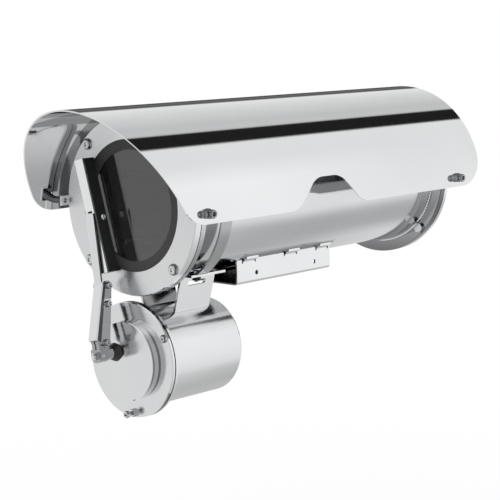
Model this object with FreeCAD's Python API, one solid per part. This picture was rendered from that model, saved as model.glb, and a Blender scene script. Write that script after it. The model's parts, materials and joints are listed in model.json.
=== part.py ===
import FreeCAD, Part
import math
import os
from FreeCAD import Vector

# Stainless camera housing with a sunshield and a window wiper.
# Frame: X across, Y along the tube with the window facing -Y, Z up.
# The origin is the centre of the four mounting holes, on the underside of the base channel.
# All sizes are millimetres. Names that end in _y, _x or _z are places, the others are sizes.

# Tube and its two ends
tube_rise = 15.0
window_face_y = -187.5
body_length = 418.0
tube_radius = 77.0
tube_wall = 2.0
front_flange_width = 14.2
front_flange_thickness = 8.0
front_collar_thickness = 6.0
front_lip_thickness = 2.0
window_opening_inset = 10.4
gasket_width = 10.6
window_hold = 4.4
window_thickness = 5.0
seal_thickness = 1.0
rear_flange_width = 15.4
rear_collar_thickness = 6.0
rear_cover_thickness = 5.8
rear_sleeve_length = 17.0
rear_sleeve_wall = 1.6
edge_chamfer = 0.8
collar_lip = 8.0
seat_gap = 0.1
running_gap = 0.05
rubbing_gap = 0.3
round_share = 0.3
head_shoulder_share = 0.35
head_top_share = 0.6

# Flange screws
flange_screw_radius = 3.0
flange_screw_head_radius = 5.8
flange_screw_head_height = 3.4
front_screw_inset = 7.6
rear_screw_inset = 7.0
flange_screw_length = 16.0
flange_screw_angles = (45, 135, 225, 315)
flange_nut_flats = 10.0
flange_nut_height = 3.4

# Sunshield, its posts and screws
shield_standoff = 33.0
shield_thickness = 1.5
shield_drop = 10.5
shield_front_reach = 24.8
shield_rear_reach = 39.0
shield_front_slant = 0.54
shield_front_corner = 32.0
shield_rear_corner = 36.0
notch_y = -4.5
notch_foot = 104.0
notch_crown = 41.0
notch_height = 31.0
notch_round = 28.0
post_radius = 3.6
front_post_reach = 4.0
shield_lug_thickness = 3.0
shield_lug_height = 10.0
shield_lug_length = 12.0
shield_lug_margin = 1.0
shield_lug_depth = 2.0
shield_screw_radius = 2.5
shield_screw_reach = 5.0
shield_screw_head_radius = 4.4
shield_screw_head_height = 4.6
shield_nut_height = 5.0
shield_nut_seat = 1.0

# Base channel under the tube
channel_front_y = -74.5
channel_length = 152.0
channel_width = 80.0
channel_wall = 2.0
channel_bend = 4.0
channel_hole_spacing_x = 50.0
channel_hole_spacing_y = 100.0
channel_hole_radius = 3.3
side_hole_places = (-44.0, 50.5)
side_hole_height = 10.5
side_hole_radius = 2.4
tab_width = 18.0
tab_reach = 5.5
tab_relief = 2.0
tab_places = (-56.0, 11.0, 64.0)

# Strap round the tube and the two bracket plates that carry the wiper drum
strap_standoff = 10.0
strap_thickness = 2.0
strap_width = 15.5
strap_setback = 49.5
strap_bolt_x = 42.5
strap_foot_inner_x = 37.0
pad_arc_angle = 14.0
pad_angles = (30, 90, 150)
bracket_under_strap = 16.0
bracket_setback = 37.0
bracket_length = 50.0
bracket_thickness = 2.5
bracket_bend_x = 31.5
bracket_edge_x = 47.5
bracket_foot_x = 20.5
bracket_foot_rise = 44.4
bracket_bend = 3.5
bracket_slot_place = 24.5
bracket_slot_drop = 11.0
bracket_slot_length = 26.0
bracket_slot_width = 5.0
strap_bolt_radius = 2.5
strap_bolt_head_radius = 3.9
strap_bolt_head_height = 1.4
strap_bolt_tail = 1.5
strap_nut_flats = 8.0
strap_nut_height = 4.0

# Wiper drum
drum_drop = 84.9
drum_cover_reach = 3.6
drum_radius = 50.0
drum_wall = 2.0
drum_length = 105.0
drum_flange_radius = 58.9
drum_flange_thickness = 3.0
drum_seal_thickness = 1.4
drum_rear_round = 3.0
drum_cap_radius = 40.5
drum_cap_height = 9.0
drum_cap_wall = 3.0
drum_screw_circle = 54.3
drum_screw_radius = 2.0
drum_screw_head_radius = 4.2
drum_screw_head_height = 3.0
drum_stud_reach = 8.0
drum_stud_head_radius = 3.6
drum_stud_head_height = 4.0
drum_nut_flats = 7.4
drum_nut_height = 4.0
drum_screw_angles = (30, 150, 272)

# Wiper drive inside the drum and the spindle through its cover
spindle_x = -13.8
spindle_rise = 7.7
spindle_radius = 4.0
bush_radius = 6.0
gearbox_width = 58.0
gearbox_height = 46.0
gearbox_depth = 22.0
gearbox_setback = 10.1
gearbox_drop = 4.0
gearbox_corner = 6.0
gearbox_boss_radius = 10.0
motor_x = 6.0
motor_radius = 19.0
motor_length = 58.0
motor_bearing_radius = 6.5
boot_radius = 9.5
boot_nose_radius = 6.6
boot_length = 6.4
boot_ribs = 3
boot_fold = 1.6
boot_valley = 0.6
barrel_radius = 6.0

# Wiper arm, built along its own Z from the lift hinge and then leaned into place
arm_lean = 9.0
arm_tilt = 18.0
hinge_rise = 11.9
hinge_reach = 16.4
hub_width = 14.0
hub_round = 7.2
hub_corner = 6.5
hub_front_depth = 9.5
hub_rear_depth = 2.9
tongue_radius = 3.6
arm_width = 15.0
arm_sheet = 2.0
arm_bend = 2.6
arm_front = 13.1
arm_start = 4.5
arm_fold = 58.0
arm_strip_lean = 0.01
arm_strip_width = 10.0
arm_strip_top_width = 12.0
arm_strip_corner = 2.5
hinge_ear = 4.8
upper_ear = 4.9
arm_screw_radius = 2.0
arm_screw_head_radius = 3.4
arm_screw_head_height = 3.4
arm_screw_tail = 2.0
arm_nut_flats = 6.4
arm_nut_height = 3.0
spindle_nose_radius = 2.4
spindle_nose_length = 5.0
spindle_nut_flats = 6.8
spindle_nut_height = 3.5
set_screw_radius = 2.0
set_screw_key = 2.4
set_screw_recess = 0.6
hub_slot_width = 2.2
hub_slot_height = 6.0
hub_nose_rise = 2.6
hub_neck_setback = 0.8
hub_slot_depth = 3.0
hub_top_gap = 1.0
tongue_side_gap = 0.15
upper_screw_back = 12.1
upper_screw_drop = 2.0
middle_screw_back = 8.8
middle_screw_drop = 20.2
block_drop = 26.0
block_margin = 3.4
arm_strip_margin = 9.8
blade_pin_back = 20.0
tongue_thickness = 4.0
tongue_end = 2.6
tongue_corner = 2.5
spring_width = 6.0
spring_thickness = 0.6

# Wiper blade, built along its own Z from the blade pin and then leaned into place
blade_lean = 16.2
blade_overrun = 5.0
blade_width = 12.0
blade_pin_offset = 3.0
spine_thickness = 2.0
blade_front_reach = 20.0
holder_back_reach = 4.3
lip_width = 1.4
lip_root_width = 8.0
tongue_room = 1.0
tongue_slot_height = 16.0
holder_floor = 1.6
blade_pin_tail = 3.2
blade_pin_head_radius = 3.2
blade_pin_head_height = 1.8
blade_nut_flats = 6.0
blade_nut_height = 2.6

# Camera sled inside the tube
sled_drop = 45.0
sled_thickness = 2.0
sled_side_gap = 4.0
sled_length = 300.0
sled_setback = 52.5
rail_width = 12.0
sled_screw_radius = 2.0
sled_screw_head_radius = 3.6
sled_screw_head_height = 2.2
sled_slot_width = 7.0
sled_slot_start = 30.0
camera_screw_place = 60.0
camera_screw_radius = 3.1
camera_screw_reach = 9.0
camera_knob_radius = 8.0
camera_knob_height = 7.0

# Wiring board at the rear of the sled
board_inset = 20.0
board_width = 64.0
board_length = 60.0
board_thickness = 1.6
spacer_radius = 3.0
spacer_height = 8.0
spacer_inset = 4.0
terminal_spacing = 40.0
terminal_width = 12.0
terminal_height = 10.0
terminal_pitch = 9.0
terminal_count = 5
terminal_slot_width = 4.0
terminal_slot_height = 5.0
terminal_slot_rise = 2.0

# Cable glands on the rear cover and on the drum
gland_spacing = 38.0
gland_drop = 34.0
gland_flat = 24.0
gland_hex_height = 6.0
gland_cap_radius = 11.0
gland_cap_length = 14.0
gland_bore_radius = 5.0
gland_thread_radius = 8.0
gland_thread_length = 9.0
gland_neck = 5.0
gland_crown = 4.5
gland_mouth_wall = 1.5
drum_gland_drop = 24.0

# Radii worked out from the tube
tube_inner_radius = tube_radius - tube_wall
front_flange_radius = tube_radius + front_flange_width
front_screw_circle = front_flange_radius - front_screw_inset
rear_flange_radius = tube_radius + rear_flange_width
rear_screw_circle = rear_flange_radius - rear_screw_inset
window_opening_radius = tube_radius - window_opening_inset
window_clear_radius = window_opening_radius - gasket_width
window_radius = window_opening_radius + window_hold
shield_radius = tube_radius + shield_standoff
strap_radius = tube_radius + strap_standoff

# Heights and places across, worked out from the sizes
axis_height = tube_radius + tube_rise
channel_height = axis_height - math.sqrt(tube_radius ** 2 - (channel_width / 2) ** 2)
shield_z = axis_height - shield_drop
bracket_top_z = axis_height - strap_radius + bracket_under_strap
bracket_slot_z = bracket_top_z - bracket_slot_drop
drum_z = bracket_top_z - drum_drop
bracket_foot_z = drum_z + bracket_foot_rise
spindle_z = drum_z + spindle_rise
sled_bottom_z = axis_height - sled_drop
sled_top_z = sled_bottom_z + sled_thickness
sled_width = 2 * (math.sqrt(tube_inner_radius ** 2 - sled_drop ** 2) - sled_side_gap)
sled_screw_x = (sled_width - rail_width) / 2
board_z = sled_top_z + spacer_height

# Places along the tube, worked out from the sizes
tube_axis = (0.0, axis_height)
drum_axis = (0.0, drum_z)
spindle_axis = (spindle_x, spindle_z)
flange_back_y = window_face_y + front_flange_thickness
collar_front_y = flange_back_y + seal_thickness
tube_front_y = collar_front_y + front_collar_thickness
rear_face_y = window_face_y + body_length
cover_front_y = rear_face_y - rear_cover_thickness
rear_collar_back_y = cover_front_y - seal_thickness
tube_rear_y = rear_collar_back_y - rear_collar_thickness
shield_front_y = window_face_y - shield_front_reach
shield_rear_y = rear_face_y + shield_rear_reach
front_post_y = window_face_y - front_post_reach
rear_post_y = tube_rear_y + post_radius
strap_y = window_face_y + strap_setback
bracket_front_y = window_face_y + bracket_setback
bracket_slot_y = bracket_front_y + bracket_slot_place
drum_cover_y = window_face_y - drum_cover_reach
drum_cover_back_y = drum_cover_y + drum_flange_thickness
drum_can_y = drum_cover_back_y + drum_seal_thickness
drum_rear_y = drum_can_y + drum_flange_thickness + drum_length
drum_cap_y = drum_cover_y - drum_cap_height
gearbox_y = drum_cover_back_y + gearbox_setback
hinge_y = drum_cap_y - hinge_reach
hub_front_y = hinge_y - hub_front_depth
hub_rear_y = hinge_y + hub_rear_depth
set_screw_y = hub_front_y + 2 * set_screw_radius
blade_front_y = window_face_y - blade_front_reach
holder_back_y = window_face_y - holder_back_reach
sled_front_y = window_face_y + sled_setback
sled_rear_y = sled_front_y + sled_length
sled_screw_ends = (sled_front_y + rail_width, sled_rear_y - rail_width)
board_rear_y = sled_rear_y - board_inset

# Places on the arm from its hinge, screws as (y, z), and the blade's length
upper_screw = (upper_screw_back, arm_fold - upper_screw_drop)
middle_screw = (middle_screw_back, arm_fold - middle_screw_drop)
block_start = arm_fold - block_drop
blade_pin_up = arm_fold + window_clear_radius + arm_strip_margin
blade_length = 2 * window_clear_radius + blade_overrun

# Directions, and how near counts as the same
FORWARD = Vector(0, -1, 0)
BACK = Vector(0, 1, 0)
UP = Vector(0, 0, 1)
RIGHT = Vector(1, 0, 0)
PARALLEL = 0.001
TOUCHING = 0.000001


def turned(points, axis):
    """Revolve the closed outline of (radius, y) points about the line along Y at axis = (x, z)."""
    x, z = axis
    outline = [Vector(x + radius, y, z) for radius, y in points]
    face = Part.Face(Part.makePolygon(outline + outline[:1]))
    return face.revolve(Vector(x, 0, z), BACK, 360)


def rod(radius, start, end):
    """Round rod between two points."""
    run = end - start
    return Part.makeCylinder(radius, run.Length, start, run)


def block(low, high):
    """Box between two corners."""
    return Part.makeBox(high[0] - low[0], high[1] - low[1], high[2] - low[2], Vector(*low))


def hexagon(flats, height, base=0.0):
    """Hexagonal prism on the local Z axis."""
    corner = flats / math.sqrt(3)
    points = [Vector(corner * math.cos(math.radians(a)), corner * math.sin(math.radians(a)), base)
              for a in range(0, 361, 60)]
    return Part.Face(Part.makePolygon(points)).extrude(Vector(0, 0, height))


def placed(shape, at, direction=UP):
    """Copy of a shape with its local Z turned to a direction and its origin moved to a point."""
    copy = shape.copy()
    copy.Placement = FreeCAD.Placement(at, FreeCAD.Rotation(UP, direction))
    return copy


def around(radius, y, axis, angles):
    """Points on a circle about a line along Y, at angles from +X towards +Z."""
    return [Vector(axis[0] + radius * math.cos(math.radians(a)), y,
                   axis[1] + radius * math.sin(math.radians(a))) for a in angles]


def drill(shape, radius, start, end):
    """Cut a round hole between two points."""
    return shape.cut(rod(radius, start, end))


def whole_length_rod(radius, z):
    """Rod along Y on the middle plane that passes both ends of the shield."""
    start = shield_front_y - shield_radius
    return rod(radius, Vector(0, start, z), Vector(0, shield_rear_y + shield_radius, z))


def both_sides(shape):
    """The shape and its mirror image across the middle plane."""
    return [shape, shape.mirror(Vector(0, 0, 0), RIGHT)]


def rounded_polygon(points, radii):
    """Closed wire through (a, b) points with each corner rounded by its radius, in the local XY plane."""
    count = len(points)
    edges = []
    ends = []
    for i in range(count):
        corner = Vector(points[i][0], points[i][1], 0)
        before = (Vector(points[i - 1][0], points[i - 1][1], 0) - corner).normalize()
        after = (Vector(points[(i + 1) % count][0], points[(i + 1) % count][1], 0) - corner).normalize()
        if radii[i] == 0:
            ends.append((corner, corner, None))
            continue
        half = before.getAngle(after) / 2
        run = radii[i] / math.tan(half)
        middle = corner + (before + after).normalize() * (radii[i] / math.sin(half) - radii[i])
        ends.append((corner + before * run, corner + after * run, middle))
    for i in range(count):
        start, end, middle = ends[i]
        if middle is not None:
            edges.append(Part.Arc(start, middle, end).toShape())
        following = ends[(i + 1) % count][0]
        if (following - end).Length > TOUCHING:
            edges.append(Part.LineSegment(end, following).toShape())
    return Part.Wire(edges)


def side_prism(points, x_low, x_high, radii=None):
    """Prism along X with the outline of (y, z) points, its corners square unless radii are given."""
    wire = rounded_polygon(points, radii or [0] * len(points))
    turn = FreeCAD.Rotation(Vector(0, 1, 0), Vector(0, 0, 1), Vector(1, 0, 0), "XYZ")
    wire.Placement = FreeCAD.Placement(Vector(x_low, 0, 0), turn)
    return Part.Face(wire).extrude(Vector(x_high - x_low, 0, 0))


def cross_prism(points, y_low, y_high, radii=None):
    """Prism along Y with the outline of (x, z) points, its corners square unless radii are given."""
    wire = rounded_polygon(points, radii or [0] * len(points))
    wire.Placement = FreeCAD.Placement(Vector(0, y_low, 0), FreeCAD.Rotation(Vector(1, 0, 0), 90))
    return Part.Face(wire).extrude(Vector(0, y_high - y_low, 0))


def plain_nut(flats, thickness, bore):
    """Hexagonal nut on the local Z axis, standing on the origin."""
    return hexagon(flats, thickness).cut(Part.makeCylinder(bore, thickness))


def button_screw(radius, length, head_radius, head_height):
    """Low head screw: the bevelled head stands on the origin and the shank goes down local Z."""
    shoulder = head_shoulder_share * head_height
    top_radius = head_top_share * head_radius
    head = Part.makeCylinder(head_radius, shoulder)
    crown = Part.makeCone(head_radius, top_radius, head_height - shoulder, Vector(0, 0, shoulder))
    return head.fuse([crown, Part.makeCylinder(radius, length, Vector(0, 0, -length))])


def plain_screw(radius, length, head_radius, head_height):
    """Screw with a flat round head on the origin and its shank down local Z."""
    head = Part.makeCylinder(head_radius, head_height)
    return head.fuse(Part.makeCylinder(radius, length, Vector(0, 0, -length)))


def cap_screw(radius, length, head_radius, head_height):
    """Socket head cap screw: the head stands on the origin and the shank goes down local Z."""
    head = Part.makeCylinder(head_radius, head_height)
    shank = Part.makeCylinder(radius, length, Vector(0, 0, -length))
    return head.fuse(shank).cut(hexagon(head_radius, head_height, head_height / 2))


# Window end

def front_flange():
    """Polished ring that holds the window, with a lip in front and a seat behind it."""
    points = [
        (window_opening_radius, window_face_y),
        (front_flange_radius - edge_chamfer, window_face_y),
        (front_flange_radius, window_face_y + edge_chamfer),
        (front_flange_radius, flange_back_y),
        (window_radius + seat_gap, flange_back_y),
        (window_radius + seat_gap, window_face_y + front_lip_thickness),
        (window_opening_radius, window_face_y + front_lip_thickness),
    ]
    ring = turned(points, tube_axis)
    for at in around(front_screw_circle, window_face_y, tube_axis, flange_screw_angles):
        ring = drill(ring, flange_screw_radius + seat_gap, at, at + BACK * front_flange_thickness)
    return ring


def flat_ring(outer, inner, front_y, back_y, axis):
    """Plain flat ring about a line along Y."""
    return turned([(inner, front_y), (outer, front_y), (outer, back_y), (inner, back_y)], axis)


def window_gasket():
    """Black ring that shows inside the lip, in front of the glass."""
    front = window_face_y + front_lip_thickness
    return flat_ring(window_radius, window_clear_radius, front, front + seal_thickness, tube_axis)


def window_glass():
    front = window_face_y + front_lip_thickness + seal_thickness
    return rod(window_radius, Vector(0, front, axis_height), Vector(0, front + window_thickness, axis_height))


def window_seal():
    """Flat seal squeezed between the flange with its glass and the collar."""
    return flat_ring(front_screw_circle - flange_screw_head_radius, tube_inner_radius - collar_lip,
                     flange_back_y, collar_front_y, tube_axis)


def front_collar():
    """Ring welded on the front end of the tube, tapped for the flange screws."""
    ring = flat_ring(front_flange_radius, tube_inner_radius - collar_lip, collar_front_y, tube_front_y,
                     tube_axis)
    for at in around(front_screw_circle, collar_front_y, tube_axis, flange_screw_angles):
        ring = drill(ring, flange_screw_radius + running_gap, at, at + BACK * front_collar_thickness)
    return ring


# Tube and rear end

def housing_tube():
    return flat_ring(tube_radius, tube_inner_radius, tube_front_y, tube_rear_y, tube_axis)


def rear_collar():
    """Turned collar: a polished sleeve over the tube and a flange for the cover."""
    sleeve_start = tube_rear_y - rear_sleeve_length
    bore = tube_radius + seat_gap
    points = [
        (bore, sleeve_start),
        (bore + rear_sleeve_wall, sleeve_start),
        (bore + rear_sleeve_wall, tube_rear_y),
        (rear_flange_radius, tube_rear_y),
        (rear_flange_radius, rear_collar_back_y),
        (tube_inner_radius, rear_collar_back_y),
        (tube_inner_radius, tube_rear_y),
        (bore, tube_rear_y),
    ]
    ring = turned(points, tube_axis)
    for at in around(rear_screw_circle, tube_rear_y, tube_axis, flange_screw_angles):
        ring = drill(ring, flange_screw_radius + seat_gap, at, at + BACK * rear_collar_thickness)
    return ring


def rear_seal():
    outer = rear_screw_circle - flange_screw_head_radius
    return flat_ring(outer, tube_inner_radius, rear_collar_back_y, cover_front_y, tube_axis)


def gland_places():
    """Axes (x, z) of the three glands on the rear cover."""
    return [(side * gland_spacing, axis_height - gland_drop) for side in (-1, 0, 1)]


def rear_cover():
    points = [
        (0.0, cover_front_y),
        (rear_flange_radius, cover_front_y),
        (rear_flange_radius, rear_face_y - edge_chamfer),
        (rear_flange_radius - edge_chamfer, rear_face_y),
        (0.0, rear_face_y),
    ]
    disc = turned(points, tube_axis)
    for at in around(rear_screw_circle, cover_front_y, tube_axis, flange_screw_angles):
        disc = drill(disc, flange_screw_radius + seat_gap, at, at + BACK * rear_cover_thickness)
    for x, z in gland_places():
        disc = drill(disc, gland_thread_radius + seat_gap, Vector(x, cover_front_y, z),
                     Vector(x, rear_face_y, z))
    return disc


def flange_screws():
    """The like screws of both ends: four in the front flange, four in the rear cover."""
    screw = button_screw(flange_screw_radius, flange_screw_length, flange_screw_head_radius,
                         flange_screw_head_height)
    front = around(front_screw_circle, window_face_y, tube_axis, flange_screw_angles)
    rear = around(rear_screw_circle, rear_face_y, tube_axis, flange_screw_angles)
    return [placed(screw, at, FORWARD) for at in front] + [placed(screw, at, BACK) for at in rear]


def rear_cover_nuts():
    nut = plain_nut(flange_nut_flats, flange_nut_height, flange_screw_radius + running_gap)
    spots = around(rear_screw_circle, tube_rear_y, tube_axis, flange_screw_angles)
    return [placed(nut, at, FORWARD) for at in spots]


# Cable glands

def gland_body():
    """Hexagonal body with its thread behind it, standing on the origin and facing local +Z."""
    bore = gland_bore_radius + seat_gap
    body = hexagon(gland_flat, gland_hex_height)
    thread = Part.makeCylinder(gland_thread_radius, gland_thread_length, Vector(0, 0, -gland_thread_length))
    length = gland_thread_length + gland_hex_height
    return body.fuse(thread).cut(Part.makeCylinder(bore, length, Vector(0, 0, -gland_thread_length)))


def gland_cap():
    """Clamping cap with a bevelled crown, screwed on the body."""
    shoulder = gland_cap_length - gland_crown
    cap = Part.makeCylinder(gland_cap_radius, shoulder, Vector(0, 0, gland_hex_height))
    crown = Part.makeCone(gland_cap_radius, gland_bore_radius + gland_mouth_wall, gland_crown,
                          Vector(0, 0, gland_hex_height + shoulder))
    bore = Part.makeCylinder(gland_bore_radius + seat_gap, gland_cap_length, Vector(0, 0, gland_hex_height))
    return cap.fuse(crown).cut(bore)


def gland_plug():
    """Rubber insert that closes the bore while no cable is fitted."""
    length = gland_hex_height + gland_cap_length - gland_neck / 2
    return Part.makeCylinder(gland_bore_radius, length)


def at_glands(shape):
    """Copies of a gland piece on the rear cover and on the rear of the drum."""
    spots = [Vector(x, rear_face_y, z) for x, z in gland_places()]
    spots.append(Vector(0, drum_rear_y, drum_z - drum_gland_drop))
    return [placed(shape, at, BACK) for at in spots]


# Sunshield

def sunshield():
    """Arched sheet with slanted front, rounded corners and a notch in each lower edge."""
    rise = shield_radius + edge_chamfer
    arch = whole_length_rod(shield_radius, shield_z)
    arch = arch.cut(whole_length_rod(shield_radius - shield_thickness, shield_z))
    front_top = shield_front_y - shield_front_slant * rise
    foot = notch_foot / 2
    crown = notch_crown / 2
    outline = [
        (shield_front_y, shield_z),
        (notch_y - foot, shield_z),
        (notch_y - crown, shield_z + notch_height),
        (notch_y + crown, shield_z + notch_height),
        (notch_y + foot, shield_z),
        (shield_rear_y, shield_z),
        (shield_rear_y, shield_z + rise),
        (front_top, shield_z + rise),
    ]
    radii = [shield_front_corner, notch_round, notch_round, notch_round, notch_round,
             shield_rear_corner, 0, 0]
    sheet = arch.common(side_prism(outline, -rise, rise, radii))
    for y in (front_post_y, rear_post_y):
        sheet = drill(sheet, shield_screw_radius + seat_gap, Vector(-rise, y, axis_height),
                      Vector(rise, y, axis_height))
    return sheet


def shield_reach():
    """Distance from the middle plane to the outer face of the shield at the height of the posts."""
    return math.sqrt(shield_radius ** 2 - shield_drop ** 2)


def shield_lugs():
    """Small plates welded on the rim of the front flange, which carry the front posts."""
    outer = front_flange_radius + shield_lug_thickness
    half = shield_lug_height / 2
    inner = front_flange_radius - shield_lug_depth
    low_y = front_post_y - post_radius - shield_lug_margin
    lug = block((inner, low_y, axis_height - half), (outer, low_y + shield_lug_length, axis_height + half))
    lug = lug.cut(whole_length_rod(front_flange_radius + seat_gap, axis_height))
    lug = drill(lug, shield_screw_radius + running_gap, Vector(inner, front_post_y, axis_height),
                Vector(outer, front_post_y, axis_height))
    return both_sides(lug)


def shield_posts():
    """Tubular spacers between the body and the shield."""
    inside_shield = whole_length_rod(shield_radius - shield_thickness - seat_gap, shield_z)
    body_rim = whole_length_rod(rear_flange_radius + seat_gap, axis_height)
    posts = []
    for y, start in ((front_post_y, front_flange_radius + shield_lug_thickness),
                     (rear_post_y, rear_flange_radius - post_radius)):
        post = rod(post_radius, Vector(start, y, axis_height), Vector(shield_radius, y, axis_height))
        post = post.common(inside_shield).cut(body_rim)
        post = drill(post, shield_screw_radius + running_gap, Vector(0, y, axis_height),
                     Vector(shield_radius, y, axis_height))
        posts += both_sides(post)
    return posts


def shield_screws():
    head_x = shield_reach() + shield_screw_reach
    screws = []
    for y, inner in ((front_post_y, front_flange_radius + seat_gap),
                     (rear_post_y, rear_flange_radius + seat_gap)):
        screw = cap_screw(shield_screw_radius, head_x - inner, shield_screw_head_radius,
                          shield_screw_head_height)
        screws += both_sides(placed(screw, Vector(head_x, y, axis_height), RIGHT))
    return screws


def shield_nuts():
    """Lock nuts on the outer face of the shield."""
    inside = whole_length_rod(shield_radius + seat_gap, shield_z)
    nut = plain_nut(2 * shield_screw_head_radius, shield_nut_height + shield_nut_seat,
                    shield_screw_radius + running_gap)
    nuts = []
    for y in (front_post_y, rear_post_y):
        at = Vector(shield_reach() - shield_nut_seat, y, axis_height)
        nuts += both_sides(placed(nut, at, RIGHT).cut(inside))
    return nuts


# Base channel

def base_channel():
    """Folded U sheet with mounting holes, side holes and tabs that hug the tube."""
    half = channel_width / 2
    low = channel_front_y
    high = channel_front_y + channel_length
    wall = channel_wall
    outline = [(-half, 0), (half, 0), (half, channel_height), (half - wall, channel_height),
               (half - wall, wall), (wall - half, wall), (wall - half, channel_height),
               (-half, channel_height)]
    inner_bend = channel_bend - wall
    radii = [channel_bend, channel_bend, 0, 0, inner_bend, inner_bend, 0, 0]
    sheet = cross_prism(outline, low, high, radii)
    skin = tube_radius + seat_gap
    for middle in tab_places:
        start = middle - tab_width / 2
        tab = Part.makeCylinder(skin + wall, tab_width, Vector(0, start, axis_height), BACK)
        reach = block((half - wall, start, channel_height / 2),
                      (half + tab_reach, start + tab_width, axis_height))
        for piece in both_sides(tab.common(reach)):
            sheet = sheet.fuse(piece)
        for edge in (start - tab_relief, start + tab_width):
            relief = block((-half, edge, channel_height - 2 * tab_relief),
                           (half, edge + tab_relief, channel_height))
            sheet = sheet.cut(relief)
    sheet = sheet.cut(Part.makeCylinder(skin, channel_length, Vector(0, low, axis_height), BACK))
    for x in (-channel_hole_spacing_x / 2, channel_hole_spacing_x / 2):
        for y in (-channel_hole_spacing_y / 2, channel_hole_spacing_y / 2):
            sheet = drill(sheet, channel_hole_radius, Vector(x, y, 0), Vector(x, y, wall))
    for y in side_hole_places:
        sheet = drill(sheet, side_hole_radius, Vector(-half, y, side_hole_height),
                      Vector(half, y, side_hole_height))
    return sheet.removeSplitter()


# Strap and bracket plates

def strap():
    """Band that stands off the tube, with feet bolted on the bracket plates."""
    inner = strap_radius - strap_thickness
    front = strap_y - strap_width / 2
    band = flat_ring(strap_radius, inner, front, front + strap_width, tube_axis)
    keep = block((-strap_radius, front, bracket_top_z), (strap_radius, front + strap_width,
                 axis_height + strap_radius))
    band = band.common(keep)
    outer_x = math.sqrt(strap_radius ** 2 - (axis_height - bracket_top_z - strap_thickness) ** 2)
    foot = block((strap_foot_inner_x, front, bracket_top_z),
                 (outer_x - strap_thickness, front + strap_width, bracket_top_z + strap_thickness))
    for side in both_sides(foot):
        band = band.fuse(side)
    for side in (-1, 1):
        x = side * strap_bolt_x
        band = drill(band, strap_bolt_radius + seat_gap, Vector(x, strap_y, bracket_top_z),
                     Vector(x, strap_y, bracket_top_z + strap_thickness))
    return band.removeSplitter()


def strap_pads():
    """Rubber pads between the tube and the strap."""
    low = tube_radius + seat_gap
    high = strap_radius - strap_thickness - seat_gap
    front = strap_y - strap_width / 2
    back = front + strap_width
    corners = [Vector(x, y, axis_height) for x, y in ((low, front), (high, front), (high, back), (low, back))]
    section = Part.Face(Part.makePolygon(corners + corners[:1]))
    centre = Vector(0, 0, axis_height)
    pads = []
    for middle in pad_angles:
        start = section.copy()
        start.rotate(centre, FORWARD, middle - pad_arc_angle / 2)
        pads.append(start.revolve(centre, FORWARD, pad_arc_angle))
    return pads


def bracket_plate():
    """Folded plate on the +X side: a flange under the strap's foot and a leaning web on the drum."""
    lean = (bracket_bend_x - bracket_foot_x) / (bracket_top_z - bracket_foot_z)
    slope = bracket_thickness * math.sqrt(1 + lean ** 2)
    inside_x = bracket_bend_x + slope - lean * bracket_thickness
    outline = [
        (bracket_bend_x, bracket_top_z),
        (bracket_edge_x, bracket_top_z),
        (bracket_edge_x, bracket_top_z - bracket_thickness),
        (inside_x, bracket_top_z - bracket_thickness),
        (bracket_foot_x + slope, bracket_foot_z),
        (bracket_foot_x, bracket_foot_z),
    ]
    radii = [bracket_bend, 0, 0, bracket_bend - bracket_thickness, 0, 0]
    plate = cross_prism(outline, bracket_front_y, bracket_front_y + bracket_length, radii)
    can = rod(drum_radius + seat_gap, Vector(0, bracket_front_y, drum_z),
              Vector(0, bracket_front_y + bracket_length, drum_z))
    plate = plate.cut(can)
    ends = (bracket_slot_length - bracket_slot_width) / 2
    half = bracket_slot_width / 2
    slot = block((0, bracket_slot_y - ends, bracket_slot_z - half),
                 (bracket_edge_x, bracket_slot_y + ends, bracket_slot_z + half))
    for y in (bracket_slot_y - ends, bracket_slot_y + ends):
        slot = slot.fuse(rod(half, Vector(0, y, bracket_slot_z), Vector(bracket_edge_x, y, bracket_slot_z)))
    plate = plate.cut(slot)
    return drill(plate, strap_bolt_radius + seat_gap, Vector(strap_bolt_x, strap_y, bracket_top_z),
                 Vector(strap_bolt_x, strap_y, bracket_top_z - bracket_thickness))


def strap_bolts():
    length = strap_thickness + bracket_thickness + strap_nut_height + strap_bolt_tail
    bolt = plain_screw(strap_bolt_radius, length, strap_bolt_head_radius, strap_bolt_head_height)
    top = bracket_top_z + strap_thickness
    return [placed(bolt, Vector(side * strap_bolt_x, strap_y, top)) for side in (-1, 1)]


def strap_nuts():
    nut = plain_nut(strap_nut_flats, strap_nut_height, strap_bolt_radius + running_gap)
    under = bracket_top_z - bracket_thickness
    return [placed(nut, Vector(side * strap_bolt_x, strap_y, under), Vector(0, 0, -1)) for side in (-1, 1)]


# Wiper drum

def drum_can():
    """Round can with a front flange and a closed, rounded rear end."""
    inner = drum_radius - drum_wall
    bend = drum_rear_round
    points = [
        (inner, drum_can_y),
        (drum_flange_radius, drum_can_y),
        (drum_flange_radius, drum_can_y + drum_flange_thickness),
        (drum_radius, drum_can_y + drum_flange_thickness),
        (drum_radius, drum_rear_y - bend),
        (drum_radius - round_share * bend, drum_rear_y - round_share * bend),
        (drum_radius - bend, drum_rear_y),
        (0.0, drum_rear_y),
        (0.0, drum_rear_y - drum_wall),
        (inner, drum_rear_y - drum_wall),
    ]
    can = turned(points, drum_axis)
    for at in around(drum_screw_circle, drum_can_y, drum_axis, drum_screw_angles):
        can = drill(can, drum_screw_radius + running_gap, at, at + BACK * drum_flange_thickness)
    gland_z = drum_z - drum_gland_drop
    return drill(can, gland_thread_radius + seat_gap, Vector(0, drum_rear_y - 2 * drum_wall, gland_z),
                 Vector(0, drum_rear_y, gland_z))


def drum_seal():
    outer = drum_screw_circle - drum_screw_radius - seat_gap
    return flat_ring(outer, drum_radius - drum_wall, drum_cover_back_y, drum_can_y, drum_axis)


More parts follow.
